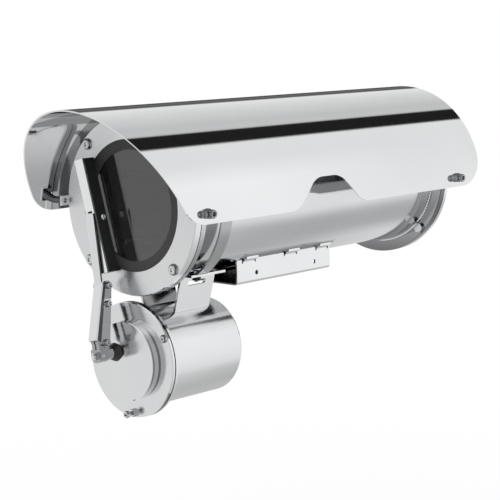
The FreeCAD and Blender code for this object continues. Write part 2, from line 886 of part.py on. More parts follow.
def drum_cover():
    """Turned cover with a raised hollow cap and an off-centre bore for the spindle."""
    inner = drum_cap_radius - drum_cap_wall
    points = [
        (0.0, drum_cap_y),
        (drum_cap_radius - edge_chamfer, drum_cap_y),
        (drum_cap_radius, drum_cap_y + edge_chamfer),
        (drum_cap_radius, drum_cover_y),
        (drum_flange_radius - edge_chamfer, drum_cover_y),
        (drum_flange_radius, drum_cover_y + edge_chamfer),
        (drum_flange_radius, drum_cover_back_y),
        (inner, drum_cover_back_y),
        (inner, drum_cap_y + drum_cap_wall),
        (0.0, drum_cap_y + drum_cap_wall),
    ]
    cover = turned(points, drum_axis)
    for at in around(drum_screw_circle, drum_cover_y, drum_axis, drum_screw_angles):
        cover = drill(cover, drum_screw_radius + seat_gap, at, at + BACK * drum_flange_thickness)
    return drill(cover, bush_radius + seat_gap, Vector(spindle_x, drum_cap_y, spindle_z),
                 Vector(spindle_x, drum_cap_y + drum_cap_wall, spindle_z))


def drum_screws():
    """Two button head screws and a longer cap screw at the bottom of the cover."""
    length = drum_can_y + drum_flange_thickness - drum_cover_y
    screw = button_screw(drum_screw_radius, length, drum_screw_head_radius, drum_screw_head_height)
    spots = around(drum_screw_circle, drum_cover_y, drum_axis, drum_screw_angles)
    stud = cap_screw(drum_screw_radius, length + drum_stud_reach, drum_stud_head_radius,
                     drum_stud_head_height)
    screws = [placed(screw, at, FORWARD) for at in spots[:2]]
    return screws + [placed(stud, spots[2] + FORWARD * drum_stud_reach, FORWARD)]


def drum_stud_nut():
    """Nut on the long screw, against the cover."""
    nut = plain_nut(drum_nut_flats, drum_nut_height, drum_screw_radius + running_gap)
    return placed(nut, around(drum_screw_circle, drum_cover_y, drum_axis, drum_screw_angles)[2], FORWARD)


def spindle_bush():
    """Flanged bush in the cover's bore."""
    back = drum_cap_y + drum_cap_wall
    return flat_ring(bush_radius, spindle_radius + running_gap, drum_cap_y, back, spindle_axis)


def gearbox():
    """Gear housing behind the cover, with a boss that reaches the inside of the cap."""
    half = gearbox_width / 2
    low = drum_z - gearbox_drop - gearbox_height / 2
    high = low + gearbox_height
    points = [(-half, low), (half, low), (half, high), (-half, high)]
    case = cross_prism(points, gearbox_y, gearbox_y + gearbox_depth, [gearbox_corner] * len(points))
    boss = rod(gearbox_boss_radius, Vector(spindle_x, drum_cap_y + drum_cap_wall, spindle_z),
               Vector(spindle_x, gearbox_y, spindle_z))
    case = case.fuse(boss)
    return drill(case, spindle_radius + running_gap, Vector(spindle_x, drum_cap_y, spindle_z),
                 Vector(spindle_x, gearbox_y + gearbox_depth - drum_cap_wall, spindle_z))


def gearmotor():
    """Motor can behind the gear housing."""
    front = Vector(motor_x, gearbox_y + gearbox_depth, drum_z - gearbox_drop)
    rear = front + BACK * motor_length
    return rod(motor_radius, front, rear).fuse(rod(motor_bearing_radius, rear, rear + BACK * drum_cap_wall))


def spindle_boot():
    """Ribbed rubber boot round the spindle, tapering forward from the cap."""
    inner = spindle_radius + rubbing_gap
    pitch = boot_length / boot_ribs
    taper = (boot_radius - boot_nose_radius) / boot_ribs
    points = [(inner, drum_cap_y)]
    for i in range(boot_ribs):
        crest = boot_radius - i * taper
        points.append((crest, drum_cap_y - i * pitch))
        points.append((crest - boot_fold, drum_cap_y - (i + boot_valley) * pitch))
    points.append((boot_nose_radius, drum_cap_y - boot_length))
    points.append((inner, drum_cap_y - boot_length))
    return turned(points, spindle_axis)


# Wiper arm, in the local frame of the arm: origin at the lift hinge, Z up the arm, Y towards the glass

def arm_placement():
    """Placement of the arm's local frame."""
    lean = FreeCAD.Rotation(Vector(0, 1, 0), -arm_lean)
    shift = hinge_rise * math.tan(math.radians(arm_lean))
    return FreeCAD.Placement(Vector(spindle_x - shift, hinge_y, spindle_z + hinge_rise), lean)


def on_arm(shape):
    """Move a piece from the arm's local frame to its place."""
    copy = shape.copy()
    copy.Placement = arm_placement().multiply(copy.Placement)
    return copy


def cross_rod(radius, place, half_width):
    """Rod along the local X axis at a (y, z) place."""
    return rod(radius, Vector(-half_width, *place), Vector(half_width, *place))


def wiper_spindle():
    """Shaft from the gear housing to the nose of the hub, with a slimmer threaded end."""
    back = gearbox_y + gearbox_depth - drum_cap_wall - seat_gap
    shaft = rod(spindle_radius, Vector(spindle_x, hub_front_y, spindle_z), Vector(spindle_x, back, spindle_z))
    nose = rod(spindle_nose_radius, Vector(spindle_x, hub_front_y - spindle_nose_length, spindle_z),
               Vector(spindle_x, hub_front_y, spindle_z))
    return shaft.fuse(nose)


def spindle_nut():
    nut = plain_nut(spindle_nut_flats, spindle_nut_height, spindle_nose_radius + running_gap)
    return placed(nut, Vector(spindle_x, hub_front_y, spindle_z), FORWARD)


def hub_tongue_width():
    return arm_width - 2 * (arm_sheet + tongue_side_gap)


def wiper_hub():
    """Block on the spindle, with a barrel behind, two slots in front and a hinge tongue above."""
    half = hub_width / 2
    rise = hinge_rise - hinge_ear - hub_top_gap
    top_x = spindle_x - rise * math.tan(math.radians(arm_lean))
    top_z = spindle_z + rise
    side_x = half * math.cos(math.radians(arm_lean))
    side_z = half * math.sin(math.radians(arm_lean))
    outline = [(spindle_x - half, spindle_z - hub_round), (spindle_x + half, spindle_z - hub_round),
               (top_x + side_x, top_z + side_z), (top_x - side_x, top_z - side_z)]
    body = cross_prism(outline, hub_front_y, hub_rear_y, [hub_corner, hub_corner, 0, 0])
    barrel_y = drum_cap_y - boot_length - rubbing_gap
    body = body.fuse(rod(barrel_radius, Vector(spindle_x, barrel_y, spindle_z),
                         Vector(spindle_x, hub_rear_y, spindle_z)))
    half = hub_tongue_width() / 2
    tongue = cross_rod(tongue_radius, (0, 0), half)
    front = hub_front_y - hinge_y
    neck = block((-half, front + hub_neck_setback, -hinge_ear - 2 * hub_top_gap), (half, tongue_radius, 0))
    nose = block((-half, front, 0), (half, 0, hub_nose_rise))
    slot = block((-hub_slot_width / 2, front, -hub_slot_height),
                 (hub_slot_width / 2, front + hub_slot_depth, hub_nose_rise))
    body = body.fuse(on_arm(tongue.fuse([neck, nose])))
    body = body.cut(on_arm(slot))
    body = drill(body, spindle_radius + running_gap, Vector(spindle_x, hub_front_y, spindle_z),
                 Vector(spindle_x, barrel_y, spindle_z))
    body = drill(body, set_screw_radius + running_gap, Vector(spindle_x, set_screw_y, spindle_z),
                 Vector(spindle_x + hub_width, set_screw_y, spindle_z))
    return body.cut(on_arm(cross_rod(arm_screw_radius + running_gap, (0, 0), hub_width)))


def hub_set_screw():
    """Headless screw that locks the hub on the spindle, from the +X side."""
    start = Vector(spindle_x + spindle_radius + running_gap, set_screw_y, spindle_z)
    end = Vector(spindle_x + hub_width / 2 - set_screw_recess, set_screw_y, spindle_z)
    key = placed(hexagon(set_screw_key, set_screw_radius), end - Vector(set_screw_radius / 2, 0, 0), RIGHT)
    return rod(set_screw_radius, start, end).cut(key)


def arm_front_at(place):
    """Front face of the arm's channel at a height: it slopes towards the glass."""
    return place * math.tan(math.radians(arm_tilt)) - arm_front


def arm_side():
    """Side outline of the channel: a sloping front, and ears round the hinge and the upper screw."""
    ears = [(0.0, 0.0, hinge_ear), (*upper_screw, upper_ear)]
    run = Vector(upper_screw[0], upper_screw[1], 0).normalize()
    tangents = [(y + radius * run.y, z - radius * run.x) for y, z, radius in ears]
    top = upper_screw[1] + upper_ear
    points = [(arm_front_at(arm_start), arm_start), (arm_front_at(top), top), (upper_screw[0], top),
              tangents[1], tangents[0], (0.0, -hinge_ear)]
    return points, ears


def wiper_arm():
    """Folded sheet: a channel open towards the glass, running on as a narrower flat strip."""
    half = arm_width / 2
    points, ears = arm_side()
    body = side_prism(points, -half, half)
    for y, z, radius in ears:
        body = body.fuse(cross_rod(radius, (y, z), half))
    body = body.removeSplitter()
    slope = Vector(0, math.sin(math.radians(arm_tilt)), math.cos(math.radians(arm_tilt)))
    corners = [edge for edge in body.Edges if edge.Length > arm_fold / 2
               and edge.CenterOfMass.y < arm_front_at(edge.CenterOfMass.z) + arm_sheet
               and abs(abs(edge.tangentAt(edge.FirstParameter).dot(slope)) - 1) < PARALLEL]
    body = body.makeFillet(arm_bend, corners)
    sheet = arm_sheet / math.cos(math.radians(arm_tilt))
    low, high = -arm_width, upper_screw[1] + arm_width
    room = side_prism([(arm_front_at(low) + sheet, low), (arm_front_at(high) + sheet, high),
                       (arm_front_at(high) + arm_fold, high), (arm_front_at(low) + arm_fold, low)],
                      arm_sheet - half, half - arm_sheet)
    body = body.cut(room)
    fold_y = arm_front_at(arm_fold)
    top = blade_pin_up + arm_strip_top_width / 2
    top_y = fold_y + arm_strip_lean * (top - arm_fold)
    strip = side_prism([(fold_y, arm_fold), (top_y, top), (top_y + arm_sheet, top),
                        (fold_y + arm_sheet, arm_fold)], -half, half)
    lower, upper = arm_strip_width / 2, arm_strip_top_width / 2
    shoulder = upper_screw[1] + upper_ear
    outline = [(-half, arm_fold), (half, arm_fold), (lower, shoulder), (upper, top), (-upper, top),
               (-lower, shoulder)]
    radii = [0, 0, 0, arm_strip_corner, arm_strip_corner, 0]
    strip = strip.common(cross_prism(outline, fold_y - half, top_y + half, radii))
    low, high = blade_pin_up - block_margin, blade_pin_up + block_margin
    end_y = blade_pin_back + tongue_end
    tongue = side_prism([(top_y, low), (end_y, low), (end_y, high), (top_y, high)],
                        -tongue_thickness / 2, tongue_thickness / 2, [0, tongue_corner, tongue_corner, 0])
    body = body.fuse(strip).fuse(tongue).removeSplitter()
    for place in ((0.0, 0.0), middle_screw, upper_screw):
        body = body.cut(cross_rod(arm_screw_radius + seat_gap, place, arm_width))
    return on_arm(body).cut(on_blade(cross_rod(arm_screw_radius + running_gap, (0, 0), arm_width)))


def arm_block():
    """Solid block between the channel's walls, held by two screws, which carries the spring."""
    half = arm_width / 2 - arm_sheet - seat_gap
    sheet = arm_sheet / math.cos(math.radians(arm_tilt)) + seat_gap
    top = upper_screw[1] + block_margin
    back = upper_screw[0] + block_margin
    slope = (upper_screw[0] - middle_screw[0]) / (upper_screw[1] - middle_screw[1])
    low_back = back - slope * (top - block_start)
    points = [(arm_front_at(block_start) + sheet, block_start), (arm_front_at(top) + sheet, top),
              (back, top), (low_back, block_start)]
    body = side_prism(points, -half, half)
    for place in (middle_screw, upper_screw):
        body = body.cut(cross_rod(arm_screw_radius + seat_gap, place, arm_width))
    return on_arm(body)


def arm_screws():
    """Hinge screw at the hub and the two screws of the block, heads on the +X side."""
    half = arm_width / 2
    length = arm_width + arm_nut_height + arm_screw_tail
    screws = []
    for y, z in ((0.0, 0.0), middle_screw, upper_screw):
        screw = cap_screw(arm_screw_radius, length, arm_screw_head_radius, arm_screw_head_height)
        screws.append(on_arm(placed(screw, Vector(half, y, z), RIGHT)))
    return screws


def arm_nuts():
    """Nuts on the far ends of the cross screws."""
    nut = plain_nut(arm_nut_flats, arm_nut_height, arm_screw_radius + running_gap)
    return [on_arm(placed(nut, Vector(-arm_width / 2, y, z), -RIGHT))
            for y, z in ((0.0, 0.0), middle_screw, upper_screw)]


def arm_spring():
    """Leaf spring on the lower face of the block, bearing on the round tongue of the hub."""
    bear = tongue_radius + rubbing_gap
    half = spring_width / 2
    top = block_start - seat_gap
    root = arm_front_at(block_start) + arm_sheet + block_margin
    points = [(root, top), (root, top - spring_thickness), (bear, tongue_radius), (bear, -tongue_radius),
              (bear + spring_thickness, -tongue_radius), (bear + spring_thickness, tongue_radius),
              (root + 2 * block_margin, top - spring_thickness), (root + 2 * block_margin, top)]
    return on_arm(side_prism(points, -half, half))


# Wiper blade, in its own frame: origin at the blade pin, Z along the blade, Y towards the glass

def blade_origin():
    return arm_placement().multVec(Vector(0, blade_pin_back, blade_pin_up))


def on_blade(shape):
    """Lean a blade piece and move it to the blade pin."""
    copy = shape.copy()
    lean = FreeCAD.Rotation(Vector(0, 1, 0), -blade_lean)
    copy.Placement = FreeCAD.Placement(blade_origin(), lean).multiply(copy.Placement)
    return copy


def blade_span():
    """Lower and upper end of the blade, from the pin."""
    return blade_pin_offset - blade_length / 2, blade_pin_offset + blade_length / 2


def tongue_slot(front, back):
    """Room for the arm's tongue."""
    half = tongue_thickness / 2 + tongue_room
    return block((-half, front, -tongue_slot_height / 2), (half, back, tongue_slot_height / 2))


def blade_spine():
    """Bright strip along the front of the blade, slotted for the arm's tongue."""
    low, high = blade_span()
    front = blade_front_y - blade_origin().y
    half = blade_width / 2
    strip = block((-half, front, low), (half, front + spine_thickness, high))
    return on_blade(strip.cut(tongue_slot(front, front + spine_thickness)))


def blade_holder():
    """Black moulded holder behind the spine, with a pocket and a bore for the blade pin."""
    low, high = blade_span()
    front = blade_front_y - blade_origin().y + spine_thickness + seat_gap
    back = holder_back_y - blade_origin().y
    half = blade_width / 2
    holder = block((-half, front, low), (half, back, high))
    holder = holder.cut(tongue_slot(front, back - holder_floor))
    holder = drill(holder, arm_screw_radius + seat_gap, Vector(-half, 0, 0), Vector(half, 0, 0))
    return on_blade(holder)


def blade_lip():
    """Rubber lip that wipes the glass side of the flange."""
    low, high = blade_span()
    front = holder_back_y - blade_origin().y + seat_gap
    back = window_face_y - rubbing_gap - blade_origin().y
    middle = (front + back) / 2
    root, tip = lip_root_width / 2, lip_width / 2
    places = [(-root, front), (root, front), (tip, middle), (tip, back), (-tip, back), (-tip, middle)]
    outline = [Vector(x, y, low) for x, y in places]
    face = Part.Face(Part.makePolygon(outline + outline[:1]))
    return on_blade(face.extrude(Vector(0, 0, high - low)))


def blade_pin():
    """Screw through the holder and the arm's tongue."""
    half = blade_width / 2
    screw = button_screw(arm_screw_radius, blade_width + blade_pin_tail, blade_pin_head_radius,
                         blade_pin_head_height)
    return on_blade(placed(screw, Vector(half, 0, 0), RIGHT))


def blade_pin_nut():
    nut = plain_nut(blade_nut_flats, blade_nut_height, arm_screw_radius + running_gap)
    return on_blade(placed(nut, Vector(-blade_width / 2, 0, 0), -RIGHT))


# Camera sled inside the tube

def sled_rails():
    """Flat rails welded along the inside of the tube."""
    low_z = sled_bottom_z - sled_thickness
    inner = whole_length_rod(tube_inner_radius - seat_gap, axis_height)
    rail = block((sled_width / 2 - rail_width, sled_front_y, low_z),
                 (tube_inner_radius, sled_rear_y, sled_bottom_z)).common(inner)
    for y in sled_screw_ends:
        rail = drill(rail, sled_screw_radius + running_gap, Vector(sled_screw_x, y, low_z),
                     Vector(sled_screw_x, y, sled_bottom_z))
    return both_sides(rail)


def camera_sled():
    """Plate for the camera with a long slot for its fixing screw."""
    half = sled_width / 2
    plate = block((-half, sled_front_y, sled_bottom_z), (half, sled_rear_y, sled_top_z))
    slot = block((-sled_slot_width / 2, sled_front_y + sled_slot_start, sled_bottom_z),
                 (sled_slot_width / 2, sled_front_y + sled_length / 2, sled_top_z))
    plate = plate.cut(slot)
    for x in (-sled_screw_x, sled_screw_x):
        for y in sled_screw_ends:
            plate = drill(plate, sled_screw_radius + seat_gap, Vector(x, y, sled_bottom_z),
                          Vector(x, y, sled_top_z))
    return plate


def sled_screws():
    screw = plain_screw(sled_screw_radius, 2 * sled_thickness, sled_screw_head_radius, sled_screw_head_height)
    return [placed(screw, Vector(x, y, sled_top_z)) for x in (-sled_screw_x, sled_screw_x)
            for y in sled_screw_ends]


def camera_screw():
    """Thumb screw that clamps the camera through the slot, head under the sled."""
    at = Vector(0, sled_front_y + camera_screw_place, sled_bottom_z)
    knob = rod(camera_knob_radius, at - UP * camera_knob_height, at)
    return knob.fuse(rod(camera_screw_radius, at, at + UP * camera_screw_reach))


def terminal_board():
    """Wiring board on four spacers at the rear of the sled."""
    half = board_width / 2
    front = board_rear_y - board_length
    board = block((-half, front, board_z), (half, board_rear_y, board_z + board_thickness))
    for x in (spacer_inset - half, half - spacer_inset):
        for y in (front + spacer_inset, board_rear_y - spacer_inset):
            board = board.fuse(rod(spacer_radius, Vector(x, y, sled_top_z), Vector(x, y, board_z)))
    return board


def terminal_blocks():
    """Two rows of screw terminals on the board."""
    base = board_z + board_thickness
    half = terminal_width / 2
    length = terminal_count * terminal_pitch
    start = board_rear_y - (board_length + length) / 2
    rows = []
    for x in (-terminal_spacing / 2, terminal_spacing / 2):
        row = block((x - half, start, base), (x + half, start + length, base + terminal_height))
        for i in range(terminal_count):
            y = start + (i + 0.5) * terminal_pitch
            low = base + terminal_slot_rise
            row = row.cut(block((x - half, y - terminal_slot_width / 2, low),
                                (x + half, y + terminal_slot_width / 2, low + terminal_slot_height)))
        rows.append(row)
    return rows


def group(shapes):
    """One compound of separate solids."""
    return Part.makeCompound(shapes)


def nodes():
    """Every named piece of the housing."""
    right = bracket_plate()
    left = both_sides(right)[1]
    return {
        "housing_tube": housing_tube(),
        "front_collar": front_collar(),
        "front_flange": front_flange(),
        "window_gasket": window_gasket(),
        "window_glass": window_glass(),
        "window_seal": window_seal(),
        "rear_collar": rear_collar(),
        "rear_seal": rear_seal(),
        "rear_cover": rear_cover(),
        "flange_screws": group(flange_screws()),
        "rear_cover_nuts": group(rear_cover_nuts()),
        "gland_bodies": group(at_glands(gland_body())),
        "gland_caps": group(at_glands(gland_cap())),
        "gland_plugs": group(at_glands(gland_plug())),
        "sunshield": sunshield(),
        "shield_lugs": group(shield_lugs()),
        "shield_posts": group(shield_posts()),
        "shield_screws": group(shield_screws()),
        "shield_nuts": group(shield_nuts()),
        "base_channel": base_channel(),
        "strap": strap(),
        "strap_pads": group(strap_pads()),
        "strap_bolts": group(strap_bolts()),
        "strap_nuts": group(strap_nuts()),
        "bracket_plate_right": right,
        "bracket_plate_left": left,
        "drum_can": drum_can(),
        "drum_seal": drum_seal(),
        "drum_cover": drum_cover(),
        "drum_screws": group(drum_screws()),
        "drum_stud_nut": drum_stud_nut(),
        "spindle_bush": spindle_bush(),
        "spindle_boot": spindle_boot(),
        "gearbox": gearbox(),
        "gearmotor": gearmotor(),
        "wiper_spindle": wiper_spindle(),
        "spindle_nut": spindle_nut(),
        "wiper_hub": wiper_hub(),
        "hub_set_screw": hub_set_screw(),
        "wiper_arm": wiper_arm(),
        "arm_block": arm_block(),
        "arm_screws": group(arm_screws()),
        "arm_nuts": group(arm_nuts()),
        "arm_spring": arm_spring(),
        "blade_spine": blade_spine(),
        "blade_holder": blade_holder(),
        "blade_lip": blade_lip(),
        "blade_pin": blade_pin(),
        "blade_pin_nut": blade_pin_nut(),
        "camera_sled": camera_sled(),
        "sled_rails": group(sled_rails()),
        "sled_screws": group(sled_screws()),
        "camera_screw": camera_screw(),
        "terminal_board": terminal_board(),
        "terminal_blocks": group(terminal_blocks()),
    }


os.makedirs("parts", exist_ok=True)
for name, shape in nodes().items():
    shape.exportStep(os.path.join("parts", name + ".step"))
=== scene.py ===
import json
import math

import bpy
from mathutils import Matrix, Vector


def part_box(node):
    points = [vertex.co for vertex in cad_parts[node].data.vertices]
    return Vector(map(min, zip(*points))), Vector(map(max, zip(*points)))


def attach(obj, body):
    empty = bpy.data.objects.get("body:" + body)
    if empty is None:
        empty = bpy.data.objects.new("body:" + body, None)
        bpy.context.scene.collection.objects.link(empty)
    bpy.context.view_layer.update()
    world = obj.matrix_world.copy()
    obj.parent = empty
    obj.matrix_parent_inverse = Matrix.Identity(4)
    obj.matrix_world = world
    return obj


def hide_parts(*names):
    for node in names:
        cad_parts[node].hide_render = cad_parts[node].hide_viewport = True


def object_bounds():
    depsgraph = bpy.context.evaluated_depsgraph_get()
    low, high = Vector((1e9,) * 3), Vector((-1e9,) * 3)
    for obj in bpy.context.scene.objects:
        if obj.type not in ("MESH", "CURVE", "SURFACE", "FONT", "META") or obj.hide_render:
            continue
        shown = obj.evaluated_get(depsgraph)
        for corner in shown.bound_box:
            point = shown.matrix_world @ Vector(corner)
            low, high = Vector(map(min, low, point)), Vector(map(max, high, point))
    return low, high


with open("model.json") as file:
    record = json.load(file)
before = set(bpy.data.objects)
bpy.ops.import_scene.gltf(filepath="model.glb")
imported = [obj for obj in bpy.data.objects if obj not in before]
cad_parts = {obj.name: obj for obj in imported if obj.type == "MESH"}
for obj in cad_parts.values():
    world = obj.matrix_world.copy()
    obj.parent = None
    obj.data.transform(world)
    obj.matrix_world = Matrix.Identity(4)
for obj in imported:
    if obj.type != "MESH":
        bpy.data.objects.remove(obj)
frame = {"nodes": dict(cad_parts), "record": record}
cad_low, cad_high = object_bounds()

# Camera, as solved from the photograph, which is 500 pixels wide
CAMERA_PLACE = Vector((1.1752, -1.3183, 0.2773))
CAMERA_AZIMUTH = math.radians(41.92)
CAMERA_ELEVATION = math.radians(8.11)
CAMERA_ROLL = math.radians(-0.92)
CAMERA_CLIP = (0.01, 100.0)
FOCAL_PIXELS = 1642.84
PICTURE_PIXELS = 500
SENSOR_WIDTH = 36.0

# Studio
FLOOR_DROP = 0.30
FLOOR_SIZE = 40.0
FLOOR_GREY = 0.95
FLOOR_WHITE_SHARES = (0.90, 1.0)
FLOOR_WHITE_DISTANCES = (0.3, 1.2)
SOFT_LIGHT = 0.62
LAMP_PLACE = Vector((0.6, -1.2, 2.2))
LAMP_SIZE = 1.6
LAMP_WATTS = 38.0

# Light cards of the studio, as (angle, level): the angle goes from +X up towards +Z, in degrees.
# They are almost black straight ahead of the window, so that edges facing it get a dark line.
CARDS_AHEAD = ((-180, 0.05), (40, 0.03), (90, 0.40), (140, 0.05), (180, 0.05))
# Around the camera they are light, with a black one to the right of it.
CARDS_UNDER = ((-180, 0.76), (-150, 0.80), (-100, 0.80))
CARDS_OVER = ((60, 0.60), (90, 0.95), (130, 0.45), (155, 0.85), (180, 0.76))
CARDS_BESIDE_CAMERA = (*CARDS_UNDER, (-60, 0.60), (-38, 0.62), (38, 0.66), *CARDS_OVER)
CARDS_BEFORE_SIDE = (*CARDS_UNDER, (-60, 0.55), (-38, 0.03), (38, 0.03), *CARDS_OVER)
CARDS_TO_THE_SIDE = (*CARDS_UNDER, (-60, 0.60), (-30, 0.70), (30, 0.74), *CARDS_OVER)
# Behind the housing they differ from left to right. A black strip hangs above them all.
CARDS_ABOVE = (
    (76.9, 0.85), (77.7, 0.015), (94.9, 0.015), (95.9, 0.62), (107, 0.60), (118, 0.67),
    (130, 0.73), (142, 0.80), (152, 0.86), (155, 0.13), (160, 0.10), (164, 0.17), (168, 0.10),
    (174, 0.06), (180, 0.06),
)
CARDS_BEHIND_LEFT = (
    (-180, 0.06), (-174, 0.07), (-168, 0.56), (-104, 0.54), (-88, 0.53), (-74, 0.58),
    (-62, 0.65), (-51, 0.72), (-40, 0.82), (-20, 0.91), (0, 0.98), (32, 1.0), (55, 0.85),
    *CARDS_ABOVE,
)
CARDS_BEHIND_MIDDLE = (
    (-180, 0.06), (-174, 0.07), (-168, 0.50), (-110, 0.60), (-95, 0.50), (-60, 0.52),
    (-52, 0.60), (-44, 0.83), (-38, 0.97), (32, 1.0), (55, 0.85), *CARDS_ABOVE,
)
CARDS_BEHIND_RIGHT = (
    (-180, 0.06), (-172, 0.10), (-164, 0.90), (-108, 0.92), (-95, 0.80), (-84, 0.58),
    (-75, 0.51), (-60, 0.53), (-49, 0.59), (-40, 0.78), (-34, 0.94), (-15, 0.92), (32, 0.87),
    (55, 0.85), *CARDS_ABOVE,
)
# Each set at its place from ahead, -1, to behind, 1. Sets blend between their places.
CARD_SETS = (
    (-0.992, CARDS_AHEAD),
    (-0.972, CARDS_BESIDE_CAMERA), (-0.60, CARDS_BESIDE_CAMERA),
    (-0.50, CARDS_BEFORE_SIDE), (-0.22, CARDS_BEFORE_SIDE),
    (-0.14, CARDS_TO_THE_SIDE), (0.30, CARDS_TO_THE_SIDE),
    (0.60, CARDS_BEHIND_LEFT), (0.705, CARDS_BEHIND_LEFT),
    (0.745, CARDS_BEHIND_MIDDLE), (0.81, CARDS_BEHIND_RIGHT),
)

# Finishes: colours, noises as (scale, detail), and heights in metres
BRIGHT = ((0.81, 0.82, 0.83), (0.87, 0.875, 0.88))
SATIN = ((0.70, 0.71, 0.72), (0.77, 0.78, 0.79))
STRAP_GREYS = ((0.44, 0.445, 0.45), (0.52, 0.525, 0.53))
FASTENER_GREYS = ((0.74, 0.75, 0.76), (0.86, 0.865, 0.87))
DARK_FASTENER_GREYS = ((0.26, 0.265, 0.27), (0.56, 0.565, 0.57))
# The gasket's rubber is lighter than the other rubbers, as a painted sheen of the pale studio that
# it mirrors.
GASKET_GREYS_WITH_PAINTED_SHEEN = ((0.044, 0.044, 0.045), (0.056, 0.056, 0.057))
BOOT_GREYS = ((0.010, 0.010, 0.011), (0.020, 0.020, 0.021))
RUBBER_GREYS = ((0.012, 0.012, 0.013), (0.028, 0.028, 0.029))
PLASTIC_GREYS = ((0.012, 0.013, 0.014), (0.022, 0.023, 0.024))
# Colours of the painted shade that some metals blend towards
PAINTED_SHADE = (0.10, 0.10, 0.105)
PAINTED_DIM_SHADE = (0.36, 0.365, 0.37)
CLOUD_NOISE = (14.0, 4.0)
GLOSS_NOISE = (60.0, 5.0)
WAVE_NOISE = (9.0, 1.0)
SHEET_WAVE = 0.00002
FINE_GRAIN = (900.0, (1, 1, 1), 0.0000012)
BRUSHED = (40.0, (1, 60, 1), 0.000002)
GRAIN_DETAIL = 2.0
MOULDED_DETAIL = 5.0
MOULDED_FINER = 8
TURNED_ROTATION = 0.25
RIM_GLOSS_SHARE = 0.12
FLAT_FACING = (0.8, 0.95)
GLASS_GREYS = ((0.19, 0.195, 0.20), (0.23, 0.235, 0.24))
GLASS_NOISE = (25.0, 5.0)
GLASS_ROUGHNESS = (0.0, 0.015)
GLASS_TRANSMISSION = 0.92
GLASS_IOR = 1.88

# Where painted shade and painted dark reflections darken a metal: places in metres, shares of
# the painted dark colour, and the facings or heights that the first and the second share stand for
SHIELD_AXIS_Z = 0.0815
SHIELD_LIT_END = -0.186
SHIELD_INWARD = -0.02
UNDERSIDE_SHARES, UNDERSIDE_FACINGS = (0.85, 0.20), (-0.95, -0.1)
COLLAR_SHARES, COLLAR_HEIGHTS = (0.86, 0.10), (0.0, 0.085)
REAR_RIM_RADIUS = 0.0912
REAR_RIM_SHARE = 0.85
CAP_SHARES, CAP_FACINGS = (0.0, 0.85), (0.45, 0.75)
CAP_REACH = 0.052
CAP_RIM_Y = -0.1984
CAP_FOOT_Y = -0.1927
CAP_SHARE_BETWEEN = 0.35
SLANT_SHARES, SLANT_FACINGS = (0.9, 0.0), (0.80, 0.93)
BRACKET_INWARD = -0.004
BRACKET_UPWARD = 0.5
BRACKET_SHARE = 0.75
TUBE_SHARES, TUBE_HEIGHTS = (0.75, 0.0), (0.0295, 0.0335)
ARM_BACK_SHARES, ARM_BACK_FACINGS = (0.0, 1.0), (0.3, 0.6)
ARM_WALL_SHARES, ARM_WALL_FACINGS = (0.0, 0.98), (0.6, 0.8)
ARM_BAND = 0.0021
ARM_SLOPE = 0.29
ARM_SHARE_BEYOND = 0.4
CHANNEL_INSIDE = 0.0383
CHANNEL_FLOOR = 0.0012

# Nodes whose finish differs from that of their slot. Many of these finishes carry painted shade and
# painted dark reflections.
FINER = {
    "sunshield": "shield_steel",
    "housing_tube": "tube_steel",
    "front_flange": "turned_steel",
    "drum_cover": "cover_steel",
    "front_collar": "collar_steel",
    "rear_collar": "rear_collar_steel",
    "strap": "strap_steel",
    "wiper_hub": "hub_steel",
    "blade_spine": "spine_steel",
    "bracket_plate_left": "bracket_steel",
    "bracket_plate_right": "bracket_steel",
    "rear_cover": "turned_steel",
    "drum_can": "drum_steel",
    "wiper_arm": "arm_steel",
    "base_channel": "channel_steel",
    "window_gasket": "gasket_rubber",
    "spindle_boot": "boot_rubber",
}

# Fine pieces, in millimetres as in the CAD. A screw is its head's radius and height, and its
# shank's radius and length, and the half width of its socket. A nut is its width across flats,
# its height and the radius of its bore.
MM = 0.001
SEGMENTS = 48
SHARP_ANGLE = math.radians(32)
TUBE_AXIS_Z = 92.0
FLANGE_SCREW_CIRCLES = ((-187.5, 83.6), (230.5, 85.4))
FLANGE_SCREW_ANGLES = (45, 135, 225, 315)
FLANGE_SCREW = (5.8, 3.4, 3.0, 16.0, 2.1)
DRUM_AXIS_Z = -63.9
DRUM_COVER_Y = -191.1
DRUM_SCREW_CIRCLE = 54.3
DRUM_SCREW_ANGLES = (30, 150)
DRUM_SCREW = (4.2, 3.0, 2.0, 7.4, 1.3)
DRUM_STUD_ANGLE = 272
DRUM_STUD = (3.6, 4.0, 2.0, 15.4, 1.6)
DRUM_STUD_REACH = 8.0
SHIELD_SCREW_SEAT = 114.498
SHIELD_SCREW = (4.4, 4.595, 2.5, 20.0, 2.3)
SHIELD_NUT = (8.8, 6.0, 2.55)
SHIELD_INSIDE = 108.15
POST_RADIUS = 3.6
POST_STARTS = ((-191.5, 94.25), (221.3, 92.55))
ARM_HINGE = Vector((-15.685, -216.5, -44.3))
ARM_LEAN = math.radians(9.0)
ARM_SCREW_PLACES = ((0.0, 0.0), (8.8, 37.8), (12.1, 56.0))
ARM_HALF_WIDTH = 7.5
ARM_SCREW = (3.4, 3.4, 2.0, 20.0, 1.6)
BLADE_PIN = Vector((-35.052, -196.5, 77.976))
BLADE_LEAN = math.radians(16.2)
BLADE_HALF_WIDTH = 6.0
BLADE_SCREW = (3.2, 1.8, 2.0, 15.2, 1.2)
GLAND_PLACES = ((-38.0, 58.0), (0.0, 58.0), (38.0, 58.0))
GLAND_REAR_Y = 230.5
DRUM_GLAND = (0.0, -78.7, -87.9)
# Each weld as its radius, its place along the tube and its thickness
WELDS = ((79.2, 217.0, 1.3), (78.0, -171.7, 0.9))
WELD_RIPPLES = 150
WELD_STEPS = 4 * WELD_RIPPLES
WELD_SIDES = 8
WELD_THINNEST = 0.85
WELD_SWELL = 0.2

